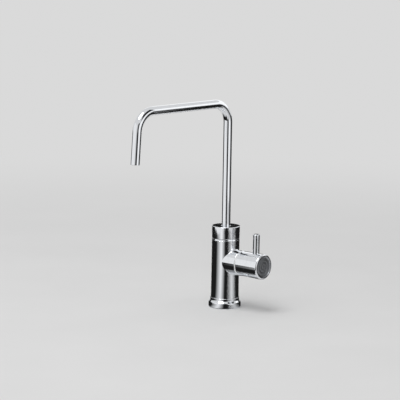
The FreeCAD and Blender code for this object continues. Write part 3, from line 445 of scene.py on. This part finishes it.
start_fresh()
bpy.ops.mesh.primitive_circle_add(vertices=TUBE_STEPS, radius=tube_r, enter_editmode=True)
tube = bpy.context.object
tube.name = "chromed_spout_tube"
bpy.ops.mesh.select_mode(type="EDGE")
bpy.ops.transform.translate(value=(0, 0, tube_low.z))
bpy.ops.mesh.extrude_region_move(TRANSFORM_OT_translate={"value": (0, 0, bend_z - tube_low.z)})
bpy.ops.mesh.spin(steps=BEND_STEPS, angle=math.pi / 2, center=(0, -BEND_R, bend_z), axis=(-1, 0, 0))
bpy.ops.mesh.extrude_region_move(TRANSFORM_OT_translate={"value": (0, arm_end_y + BEND_R, 0)})
bpy.ops.mesh.spin(steps=BEND_STEPS, angle=leg_turn, center=(0, arm_end_y, bend_z), axis=(-1, 0, 0))
bpy.ops.mesh.extrude_region_move(TRANSFORM_OT_translate={"value": leg_way * leg_length})
bpy.ops.mesh.select_all(action="SELECT")
bpy.ops.mesh.remove_doubles(threshold=SAME_POINT)
bpy.ops.mesh.normals_make_consistent(inside=False)
select_only(tube)
bpy.ops.object.modifier_add(type="SOLIDIFY")
tube.modifiers[-1].thickness = TUBE_WALL
tube.modifiers[-1].offset = -1
bpy.ops.object.modifier_apply(modifier=tube.modifiers[-1].name)
bpy.ops.object.mode_set(mode="EDIT")
bpy.ops.mesh.select_all(action="DESELECT")
tube_mesh = bmesh.from_edit_mesh(tube.data)
for edge in tube_mesh.edges:
    along = [abs((end.co - outlet).dot(leg_way)) for end in edge.verts]
    radii = [(end.co - outlet).length for end in edge.verts]
    edge.select_set(max(along) < NEAR and abs(radii[0] - radii[1]) < NEAR)
bmesh.update_edit_mesh(tube.data)
bpy.ops.mesh.bevel(offset=OUTLET_ROUND, segments=4, affect="EDGES")
finish_piece(tube, chrome, "spout", "spout_tube")


# Flow straightener: a white acetal plug with a ring of holes, pressed in just behind the outlet.
# It calms the stream so that it leaves the tube without splashing.
dress(white_acetal, "outlet_straightener")


# Collar ring: a thin chromed ring in the seam between collar and body, tapered to catch the light.
# It is turned from brass and trapped as the collar is screwed down.
COLLAR_WALL = 0.0044
RING_TAPER = 0.0006
ring_low, ring_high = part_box("collar_ring")
collar_low, collar_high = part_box("spout_collar")
collar_r = collar_high.x
neck_bore_r = collar_r - COLLAR_WALL
ring_top_r = ring_high.x - RING_TAPER
seam_ring = turned(
    "chromed_collar_ring",
    [
        (neck_bore_r, ring_low.z),
        (ring_high.x, ring_low.z),
        (ring_top_r, ring_high.z),
        (neck_bore_r, ring_high.z),
    ],
)
round_rings(seam_ring, [(ring_high.x, ring_low.z), (ring_top_r, ring_high.z)], LIP_ROUND, segments=3)
finish_piece(seam_ring, chrome, "body", "collar_ring")


# Collar: a chromed brass cap nut, screwed on the neck to hold the spout down on its washer.
# Its flat top is polished like a mirror, so the tube is seen again in it.
BUSH_NECK = 0.00108
BUSH_FLANGE = 0.0014
bush_hole_r = tube_r + BUSH_NECK
collar_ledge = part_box("spout_bush")[0].z + BUSH_FLANGE
collar = turned(
    "chromed_spout_collar",
    [
        (neck_bore_r, collar_low.z),
        (collar_r, collar_low.z),
        (collar_r, collar_high.z),
        (bush_hole_r, collar_high.z),
        (bush_hole_r, collar_ledge),
        (neck_bore_r, collar_ledge),
    ],
)
round_rings(collar, [(collar_r, collar_low.z), (collar_r, collar_high.z)], EDGE_ROUND)
round_rings(collar, [(bush_hole_r, collar_high.z)], LIP_ROUND, segments=2)
finish_piece(collar, chrome, "body", "spout_collar")


# Base flange: a stepped ring of chromed brass that covers the deck hole and spreads the clamping load.
# Its shoulder slopes up to a narrow step under the body, and a groove below takes the gasket.
SHANK_HOLE_R = 0.0109
RIM_Z = 0.0076
STEP_Z = 0.0106
STEP_WIDTH = 0.0023
STEP_ROUND = 0.0004
GASKET_WIDTH = 0.004
flange_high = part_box("base_flange")[1]
flange_r = flange_high.x
step_r = flange_r - STEP_WIDTH
gasket_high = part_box("base_gasket")[1]
gasket_r = gasket_high.x
gasket_bore = gasket_r - GASKET_WIDTH
flange = turned(
    "chromed_base_flange",
    [
        (SHANK_HOLE_R, 0),
        (gasket_bore, 0),
        (gasket_bore, gasket_high.z),
        (gasket_r, gasket_high.z),
        (gasket_r, 0),
        (flange_r, 0),
        (flange_r, RIM_Z),
        (step_r, STEP_Z),
        (step_r, flange_high.z),
        (SHANK_HOLE_R, flange_high.z),
    ],
)
round_rings(flange, [(flange_r, RIM_Z)], EDGE_ROUND)
round_rings(flange, [(step_r, flange_high.z), (step_r, STEP_Z), (flange_r, 0)], STEP_ROUND, segments=4)
finish_piece(flange, chrome, "body", "base_flange")


# Base gasket: a soft black ring in the flange's groove, level with its underside.
# It keeps splashed water out of the deck hole.
dress(black_rubber, "base_gasket")


# Mounting shank: a brass tube with a pipe thread cut along it, screwed up into the body.
# It passes through the deck and is bored through for the water, wider at its foot for the nipple.
THREAD_PITCH = 0.001814
THREAD_DEPTH = 0.00116
THREAD_STEPS = 72
ROOT_FLAT = 0.08
CREST_START = 0.42
LEAD_IN_TURNS = 1.5
SPARE_TURNS = 2
NIPPLE_THREAD_R = 0.00655
NIPPLE_DEPTH = 0.010
WATERWAY_R = 0.0055
shank_low, shank_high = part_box("mounting_shank")
crest_r = shank_high.x
root_r = crest_r - THREAD_DEPTH
thread_turns = math.ceil((shank_high.z - shank_low.z) / THREAD_PITCH) + SPARE_TURNS
thread_outline = [
    (0, root_r),
    (ROOT_FLAT, root_r),
    (CREST_START, crest_r),
    (1 - CREST_START, crest_r),
    (1 - ROOT_FLAT, root_r),
    (1, root_r),
]
waterway_z = shank_low.z + NIPPLE_DEPTH
narrowing = WATERWAY_R / NIPPLE_THREAD_R

start_fresh()
bpy.ops.mesh.primitive_plane_add(enter_editmode=True)
shank = bpy.context.object
shank.name = "threaded_mounting_shank"
bpy.ops.mesh.select_mode(type="VERT")
bpy.ops.mesh.merge(type="CENTER")
bpy.ops.transform.translate(value=(root_r, 0, shank_low.z - LEAD_IN_TURNS * THREAD_PITCH))
for (share, radius), (next_share, next_radius) in zip(thread_outline, thread_outline[1:]):
    step = (next_radius - radius, 0, (next_share - share) * THREAD_PITCH)
    bpy.ops.mesh.extrude_region_move(TRANSFORM_OT_translate={"value": step})
select_only(shank)
bpy.ops.object.modifier_add(type="SCREW")
winding = shank.modifiers[-1]
winding.screw_offset = THREAD_PITCH
winding.iterations = thread_turns
winding.steps = THREAD_STEPS
winding.render_steps = THREAD_STEPS
winding.use_merge_vertices = True
winding.merge_threshold = SAME_POINT
bpy.ops.object.modifier_apply(modifier=winding.name)
bpy.ops.object.mode_set(mode="EDIT")
bpy.ops.mesh.select_all(action="SELECT")
bpy.ops.mesh.remove_doubles(threshold=SAME_POINT)
for end, outward in ((shank_low, (0, 0, -1)), (shank_high, (0, 0, 1))):
    bpy.ops.mesh.select_all(action="SELECT")
    bpy.ops.mesh.bisect(plane_co=end, plane_no=outward, clear_outer=True, threshold=SAME_POINT)
bpy.ops.mesh.select_all(action="DESELECT")
bpy.ops.mesh.select_mode(type="EDGE")
bpy.ops.mesh.primitive_circle_add(
    vertices=TURN_STEPS, radius=NIPPLE_THREAD_R, location=(0, 0, shank_low.z)
)
bpy.ops.mesh.extrude_region_move(TRANSFORM_OT_translate={"value": (0, 0, NIPPLE_DEPTH)})
bpy.ops.mesh.extrude_region_move()
bpy.ops.transform.resize(value=(narrowing, narrowing, 1), center_override=(0, 0, waterway_z))
bpy.ops.mesh.extrude_region_move(TRANSFORM_OT_translate={"value": (0, 0, shank_high.z - waterway_z)})
for end_z in (shank_low.z, shank_high.z):
    bpy.ops.mesh.select_all(action="DESELECT")
    shank_mesh = bmesh.from_edit_mesh(shank.data)
    for edge in shank_mesh.edges:
        edge.select_set(edge.is_boundary and all(abs(end.co.z - end_z) < NEAR for end in edge.verts))
    bmesh.update_edit_mesh(shank.data)
    bpy.ops.mesh.fill(use_beauty=True)
bpy.ops.mesh.select_all(action="SELECT")
bpy.ops.mesh.normals_make_consistent(inside=False)
finish_piece(shank, upright_brass, "body", "mounting_shank")


# Deck washer: a thick black rubber ring that takes up the unevenness under the deck.
# Its edges are rounded where the moulding's skin was trimmed.
RUBBER_ROUND = 0.0006
soft_low, soft_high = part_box("deck_washer")


def plain_washer(name, outer_r, low_z, high_z):
    """A flat ring that goes over the shank."""
    return turned(
        name, [(SHANK_HOLE_R, low_z), (outer_r, low_z), (outer_r, high_z), (SHANK_HOLE_R, high_z)]
    )


soft_washer = plain_washer("rubber_deck_washer", soft_high.x, soft_low.z, soft_high.z)
round_rings(soft_washer, [(soft_high.x, soft_low.z), (soft_high.x, soft_high.z)], RUBBER_ROUND)
finish_piece(soft_washer, black_rubber, "body", "deck_washer")


# Clamp washer: a stamped stainless ring that spreads the nut's load on the rubber.
# The punch leaves its lower edges rounded over.
PUNCH_ROUND = 0.0004
steel_low, steel_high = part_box("clamp_washer")
washer_steel = brushed_steel("washer_steel", stretch=(1, 0.05, 1))
steel_washer = plain_washer("steel_clamp_washer", steel_high.x, steel_low.z, steel_high.z)
round_rings(steel_washer, [(steel_high.x, steel_low.z), (SHANK_HOLE_R, steel_low.z)], PUNCH_ROUND, segments=3)
finish_piece(steel_washer, washer_steel, "body", "clamp_washer")


# Lock nut: a brass hexagon that runs on the shank's thread and clamps the deck.
# Both faces are turned, which chamfers its corners, and tumbling has broken its edges.
HEX_SIDES = 6
BAR_ALLOWANCE = 1.01
FACE_INSET = 0.0003
SLIVER = 0.0001
BROKEN_EDGE = 0.00015
SHARP_ANGLE = math.radians(25)
THREAD_CLEARANCE = 0.00005
NUT_WALL = 0.0055


def bar_for(flats):
    """The face and bar radii and the chamfer of a turned blank for a hexagon of this half width."""
    face_r = flats - FACE_INSET
    bar_r = BAR_ALLOWANCE * flats / math.cos(math.pi / HEX_SIDES)
    return face_r, bar_r, (bar_r - face_r) / 2


def mill_flats(flats):
    """Cut six flats on the turned piece at hand, and leave two of its corners on the X axis."""
    for side in range(HEX_SIDES):
        angle = (2 * side + 1) * math.pi / HEX_SIDES
        outward = Vector((math.cos(angle), math.sin(angle), 0))
        bpy.ops.mesh.select_all(action="SELECT")
        bpy.ops.mesh.bisect(
            plane_co=outward * flats, plane_no=outward, use_fill=True, clear_outer=True, threshold=SAME_POINT
        )
    bpy.ops.mesh.select_all(action="SELECT")
    bpy.ops.mesh.remove_doubles(threshold=SLIVER)


def soften(piece):
    """Break a piece's sharp edges by a hair."""
    select_only(piece)
    bpy.ops.object.modifier_add(type="BEVEL")
    breaking = piece.modifiers[-1]
    breaking.width = BROKEN_EDGE
    breaking.segments = 2
    breaking.limit_method = "ANGLE"
    breaking.angle_limit = SHARP_ANGLE
    bpy.ops.object.modifier_apply(modifier=breaking.name)


nut_low, nut_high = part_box("lock_nut")
nut_bore = crest_r + THREAD_CLEARANCE
nut_flats = nut_bore + NUT_WALL
nut_face_r, nut_bar_r, nut_chamfer = bar_for(nut_flats)
nut = turned(
    "brass_lock_nut",
    [
        (nut_bore, nut_low.z),
        (nut_face_r, nut_low.z),
        (nut_bar_r, nut_low.z + nut_chamfer),
        (nut_bar_r, nut_high.z - nut_chamfer),
        (nut_face_r, nut_high.z),
        (nut_bore, nut_high.z),
    ],
)
mill_flats(nut_flats)
soften(nut)
finish_piece(nut, upright_brass, "body", "lock_nut")


# Inlet washer: a flat red-brown ring of vulcanised fibre that seals the nipple against the shank.
# It is punched from sheet and swells a little when wet.
def pressed_fibre(name):
    material, tree, fibre = new_material(name)
    strands = noise(tree, scale=700, detail=5.0, stretch=(0.3, 1, 1))
    tint(tree, fibre, strands, dark=(0.22, 0.05, 0.03), light=(0.38, 0.12, 0.08))
    roughen(tree, fibre, strands, low=0.6, high=0.85)
    emboss(tree, fibre, strands, strength=0.3, depth=0.00004)
    return material


dress(pressed_fibre("pressed_fibre"), "inlet_washer")


# Inlet nipple: turned from hexagon brass, screwed into the shank's foot on the fibre washer.
# Its plain spigot has a chamfered end, and the purifier's hose pushes on to it.
NIPPLE_R = 0.0065
HEX_WALL = 0.0045
HEX_HEIGHT = 0.006
SPIGOT_R = 0.005
SPIGOT_BORE = 0.003
SPIGOT_CHAMFER = 0.001
nipple_low, nipple_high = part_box("inlet_nipple")
hex_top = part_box("inlet_washer")[0].z
hex_foot = hex_top - HEX_HEIGHT
nipple_flats = NIPPLE_R + HEX_WALL
nipple_face_r, nipple_bar_r, nipple_chamfer = bar_for(nipple_flats)
nipple = turned(
    "brass_inlet_nipple",
    [
        (SPIGOT_BORE, nipple_low.z),
        (SPIGOT_R - SPIGOT_CHAMFER, nipple_low.z),
        (SPIGOT_R, nipple_low.z + SPIGOT_CHAMFER),
        (SPIGOT_R, hex_foot),
        (nipple_face_r, hex_foot),
        (nipple_bar_r, hex_foot + nipple_chamfer),
        (nipple_bar_r, hex_top),
        (NIPPLE_R, hex_top),
        (NIPPLE_R, nipple_high.z),
        (SPIGOT_BORE, nipple_high.z),
    ],
)
mill_flats(nipple_flats)
soften(nipple)
finish_piece(nipple, upright_brass, "body", "inlet_nipple")


# Floor: a pale matt worktop that the flange stands on, lit round the tap and plain further off.
# It belongs to no body, so it is no piece of the tap.
FLOOR_WIDTH = 40.0
PALE = (0.70, 0.70, 0.70)
FADE_START = 0.2
FADE_END = 1.6
start_fresh()
bpy.ops.mesh.primitive_plane_add(size=FLOOR_WIDTH)
floor = bpy.context.object
floor.name = "pale_floor"
floor_material, floor_tree, floor_shader = new_material("pale_floor")
floor_cloud = noise(floor_tree, scale=6, detail=3.0)
tint(floor_tree, floor_shader, floor_cloud, dark=(0.69, 0.69, 0.69), light=(0.71, 0.71, 0.71))
floor_shader.inputs["Roughness"].default_value = 0.9
floor_shader.inputs["Specular IOR Level"].default_value = 0.0
floor.data.materials.append(floor_material)


def seen_directly(tree):
    """One for what the camera sees, straight or by way of metal and glass, and nought for the light."""
    path = tree.nodes.new("ShaderNodeLightPath")
    seen = path.outputs["Is Camera Ray"]
    for kind in ("Is Glossy Ray", "Is Transmission Ray"):
        either = tree.nodes.new("ShaderNodeMath")
        either.operation = "MAXIMUM"
        tree.links.new(seen, either.inputs[0])
        tree.links.new(path.outputs[kind], either.inputs[1])
        seen = either.outputs["Value"]
    return seen


floor_place = floor_tree.nodes.new("ShaderNodeTexCoord")
floor_distance = floor_tree.nodes.new("ShaderNodeVectorMath")
floor_distance.operation = "LENGTH"
floor_tree.links.new(floor_place.outputs["Object"], floor_distance.inputs[0])
far = spread(floor_tree, floor_distance.outputs["Value"], 0, 1, start=FADE_START, end=FADE_END)
far.node.interpolation_type = "SMOOTHSTEP"
far_and_seen = floor_tree.nodes.new("ShaderNodeMath")
far_and_seen.operation = "MULTIPLY"
floor_tree.links.new(far, far_and_seen.inputs[0])
floor_tree.links.new(seen_directly(floor_tree), far_and_seen.inputs[1])
plain = floor_tree.nodes.new("ShaderNodeEmission")
plain.inputs["Color"].default_value = (*PALE, 1)
floor_mix = floor_tree.nodes.new("ShaderNodeMixShader")
floor_tree.links.new(far_and_seen.outputs["Value"], floor_mix.inputs["Fac"])
floor_tree.links.new(floor_shader.outputs["BSDF"], floor_mix.inputs[1])
floor_tree.links.new(plain.outputs["Emission"], floor_mix.inputs[2])
floor_tree.links.new(floor_mix.outputs["Shader"], floor_tree.nodes["Material Output"].inputs["Surface"])


# Studio light: an even pale room, which is the backdrop too, and one large soft box.
# The soft box hangs high up on the camera's left and gives the tap its soft shadow.
CAMERA_AZIMUTH = 40.4
ROOM_LIGHT = 0.9
KEY_AZIMUTH = -45
KEY_DISTANCE = 0.9
KEY_HEIGHT = 2.3
KEY_SIZE = 1.2
KEY_POWER = 24
world = bpy.data.worlds.new("studio")
bpy.context.scene.world = world
world.use_nodes = True
room = world.node_tree.nodes["Background"]
room.inputs["Color"].default_value = (*PALE, 1)
world.node_tree.links.new(
    spread(world.node_tree, seen_directly(world.node_tree), ROOM_LIGHT, 1.0, start=0, end=1),
    room.inputs["Strength"],
)


def round_the_tap(azimuth, distance, height):
    """A place at this azimuth in degrees from the camera's own, to its right where it is above nought."""
    angle = math.radians(CAMERA_AZIMUTH + azimuth)
    return Vector((distance * math.sin(angle), -distance * math.cos(angle), height))


key_place = round_the_tap(KEY_AZIMUTH, KEY_DISTANCE, KEY_HEIGHT)
bpy.ops.object.light_add(type="AREA", location=key_place)
key = bpy.context.object
key.name = "key_soft_box"
key.data.size = KEY_SIZE
key.data.energy = KEY_POWER
key.rotation_euler = (-key_place).to_track_quat("-Z", "Y").to_euler()
key.visible_camera = False


# Studio cards: cards and sheets that stand and lie round the tap and glow pale and dark in turn, though none
# is a lamp.
# Polished chrome shows what is round it, and only the metal sees them, so they are painted highlights and
# painted shade in its reflections; they are part of the stage.
def glowing(name, brightness):
    """A card's plain glow, which needs no lamp: brightness painted straight onto the card."""
    material, tree, shader = new_material(name)
    glow = tree.nodes.new("ShaderNodeEmission")
    glow.inputs["Strength"].default_value = brightness
    tree.links.new(glow.outputs["Emission"], tree.nodes["Material Output"].inputs["Surface"])
    tree.nodes.remove(shader)
    return material


def glowing_in_parts(name, brightness, shares):
    """A glow that covers a share of the card at each azimuth from the camera."""
    material = glowing(name, brightness)
    tree = material.node_tree
    place = tree.nodes.new("ShaderNodeTexCoord")
    turn = tree.nodes.new("ShaderNodeMapping")
    azimuths = tree.nodes.new("ShaderNodeTexGradient")
    cover = tree.nodes.new("ShaderNodeValToRGB")
    clear = tree.nodes.new("ShaderNodeBsdfTransparent")
    mix = tree.nodes.new("ShaderNodeMixShader")
    turn.inputs["Rotation"].default_value = (0, 0, math.radians(90 - CAMERA_AZIMUTH))
    azimuths.gradient_type = "RADIAL"
    stops = cover.color_ramp.elements
    for number, (azimuth, share) in enumerate(shares):
        position = 0.5 + azimuth / 360
        stop = stops[number] if number < 2 else stops.new(position)
        stop.position = position
        stop.color = (share, share, share, 1)
    tree.links.new(place.outputs["Object"], turn.inputs["Vector"])
    tree.links.new(turn.outputs["Vector"], azimuths.inputs["Vector"])
    tree.links.new(azimuths.outputs["Fac"], cover.inputs["Fac"])
    tree.links.new(cover.outputs["Color"], mix.inputs["Fac"])
    tree.links.new(clear.outputs["BSDF"], mix.inputs[1])
    tree.links.new(tree.nodes["Emission"].outputs["Emission"], mix.inputs[2])
    tree.links.new(mix.outputs["Shader"], tree.nodes["Material Output"].inputs["Surface"])
    return material


def painted_at_a_slant_only(material, start, full):
    """Clear a card where it is looked down on, so that what it paints into the metal, pale and dark alike,
    fades the way a glossy sheet's shine does.
    """
    tree = material.node_tree
    mix = tree.nodes["Mix Shader"]
    cover = mix.inputs["Fac"].links[0].from_socket
    slant = tree.nodes.new("ShaderNodeLayerWeight")
    both = tree.nodes.new("ShaderNodeMath")
    both.operation = "MULTIPLY"
    shine = spread(tree, slant.outputs["Facing"], 0.0, 1.0, start=start, end=full)
    tree.links.new(cover, both.inputs[0])
    tree.links.new(shine, both.inputs[1])
    tree.links.new(both.outputs["Value"], mix.inputs["Fac"])


def show_in_metal_only(card, material):
    """Give a card its glow and hide it from all but reflections, so it is seen only in the metal."""
    card.data.materials.append(material)
    card.visible_camera = False
    card.visible_diffuse = False
    card.visible_shadow = False
    card.visible_transmission = False


def standing_card(name, material, azimuth, distance, low, width, height):
    """A flat card that stands upright and faces the tap."""
    start_fresh()
    bpy.ops.mesh.primitive_plane_add(size=1)
    card = bpy.context.object
    card.name = name
    card.scale = (width, height, 1)
    facing = (math.pi / 2, 0, math.radians(CAMERA_AZIMUTH + azimuth))
    set_in_place(card, round_the_tap(azimuth, distance, low + height / 2), facing)
    show_in_metal_only(card, material)


def card_ring(name, material, low, high, low_r, high_r):
    """A ring of card round the tap, from one height and radius to another."""
    start_fresh()
    bpy.ops.mesh.primitive_cone_add(
        vertices=RING_STEPS,
        radius1=low_r,
        radius2=high_r,
        depth=high - low,
        end_fill_type="NOTHING",
        location=(0, 0, (low + high) / 2),
    )
    card = bpy.context.object
    card.name = name
    show_in_metal_only(card, material)


RING_STEPS = 120
SHEET_NEAR = 0.024
SHEET_FAR = 0.6
DARK = 0.012
WHITE = 0.9

# Each list gives the share of a ring that is there at some azimuths, so that every side has painted dark and
# pale in its reflections
LEFT_SHADE = [(-180, 0.0), (-140, 0.0), (-120, 1.0), (-10, 1.0), (8, 0.0)]
RIGHT_SHADE = [(80, 0.0), (100, 1.0), (134, 1.0), (150, 0.0), (180, 0.0)]
OPEN_LEFT = [(-180, 0.0), (-166, 0.0), (-146, 1.0)]
RIGHT_WINDOW = [(14, 1.0), (50, 0.0), (56, 0.0), (94, 1.0)]
OPEN_RIGHT = [(146, 1.0), (166, 0.0), (180, 0.0)]
BEHIND_LEFT = [(-180, 1.0), (-172, 1.0), (-162, 0.2), (-156, 0.2), (-146, 1.0)]
LEFT_WINDOW = [(-104, 1.0), (-96, 0.0), (-20, 0.0), (0, 1.0)]
FRONT_WINDOW = [(10, 1.0), (30, 0.0), (56, 0.0), (94, 1.0)]
BEHIND_RIGHT = [(146, 1.0), (156, 0.2), (162, 0.2), (172, 1.0), (180, 1.0)]
STANDING_PARTS = BEHIND_LEFT + LEFT_WINDOW + FRONT_WINDOW + BEHIND_RIGHT
LEFT_SHEET = [(-180, 0.0), (-78, 0.0), (-38, 1.0), (-32, 1.0), (-4, 0.0), (180, 0.0)]

# Dark sheets lying round the tap, seen only in the metal: painted shade in the chrome's reflections where the
# pale floor would show.
lying_shade = glowing_in_parts("lying_shade", DARK, LEFT_SHADE + RIGHT_SHADE)
painted_at_a_slant_only(lying_shade, start=0.12, full=0.28)
lying_painted_dark = glowing_in_parts("lying_painted_dark", DARK, OPEN_LEFT + RIGHT_WINDOW + OPEN_RIGHT)
painted_at_a_slant_only(lying_painted_dark, start=0.45, full=0.72)
# A dark ring standing round the tap, also used for the front card: painted dark reflections on every side but
# its windows.
standing_painted_dark = glowing_in_parts("standing_painted_dark", DARK, STANDING_PARTS)
# A pale sheet lying round the tap that glows where it is seen at a slant: a painted reflection of a bright
# sheet in the chrome.
painted_reflection_sheet = glowing_in_parts("painted_reflection_sheet", WHITE, LEFT_SHEET)
painted_at_a_slant_only(painted_reflection_sheet, start=0.58, full=0.80)
card_ring("lying_shade_ring", lying_shade, low=0.0002, high=0.0094, low_r=SHEET_NEAR, high_r=SHEET_FAR)
card_ring("lying_painted_dark_ring", lying_painted_dark, low=0.0004, high=0.0100, low_r=SHEET_NEAR, high_r=SHEET_FAR)
card_ring("lying_painted_reflection_ring", painted_reflection_sheet, low=0.0006, high=0.0106, low_r=SHEET_NEAR, high_r=SHEET_FAR)
card_ring("standing_painted_dark_ring", standing_painted_dark, low=0.0006, high=0.25, low_r=SHEET_FAR, high_r=0.601)
standing_card("front_card", standing_painted_dark, azimuth=0, distance=0.55, low=0, width=0.5, height=0.5)
# Pale glowing cards standing round the tap, seen only in the metal: painted highlights in the chrome,
# lighting nothing.
left_glow = glowing("left_card", 0.85)
standing_card("left_card", left_glow, azimuth=-64, distance=0.555, low=0, width=0.777, height=0.5)
right_glow = glowing("right_card", 1.0)
standing_card("right_card", right_glow, azimuth=56, distance=0.8, low=0.02, width=1.0, height=0.5)
# A dark card high on the right, seen only in the metal: painted shade in its reflections.
high_painted_dark = glowing("high_right_card", DARK)
standing_card("high_right_card", high_painted_dark, azimuth=62, distance=1.0, low=0.7, width=1.15, height=1.2)
# A wide pale card high behind the tap, seen only in the metal: painted highlights.
back_glow = glowing("back_card", 1.1)
standing_card("back_card", back_glow, azimuth=145, distance=1.2, low=0.42, width=3.0, height=0.7)


# Camera: a long lens, a few paces off and a little above the tap, at the photograph's viewing angle.
# Its place, turn and lens were fitted to the tap's edges as the photograph shows them.
CAMERA_PLACE = (1.739, -2.044, 0.576)
CAMERA_YAW = 41.175
CAMERA_PITCH = 9.025
CAMERA_ROLL = 0.941
CAMERA_LENS = 176.3
CAMERA_SIGHT = 100
bpy.ops.object.camera_add(location=CAMERA_PLACE)
camera = bpy.context.object
camera.name = "product_camera"
camera.rotation_euler = (
    Matrix.Rotation(math.radians(CAMERA_YAW), 4, "Z")
    @ Matrix.Rotation(math.radians(90 - CAMERA_PITCH), 4, "X")
    @ Matrix.Rotation(math.radians(CAMERA_ROLL), 4, "Z")
).to_euler()
camera.data.lens = CAMERA_LENS
camera.data.clip_end = CAMERA_SIGHT
bpy.context.scene.camera = camera
bpy.context.scene.view_settings.view_transform = "Standard"
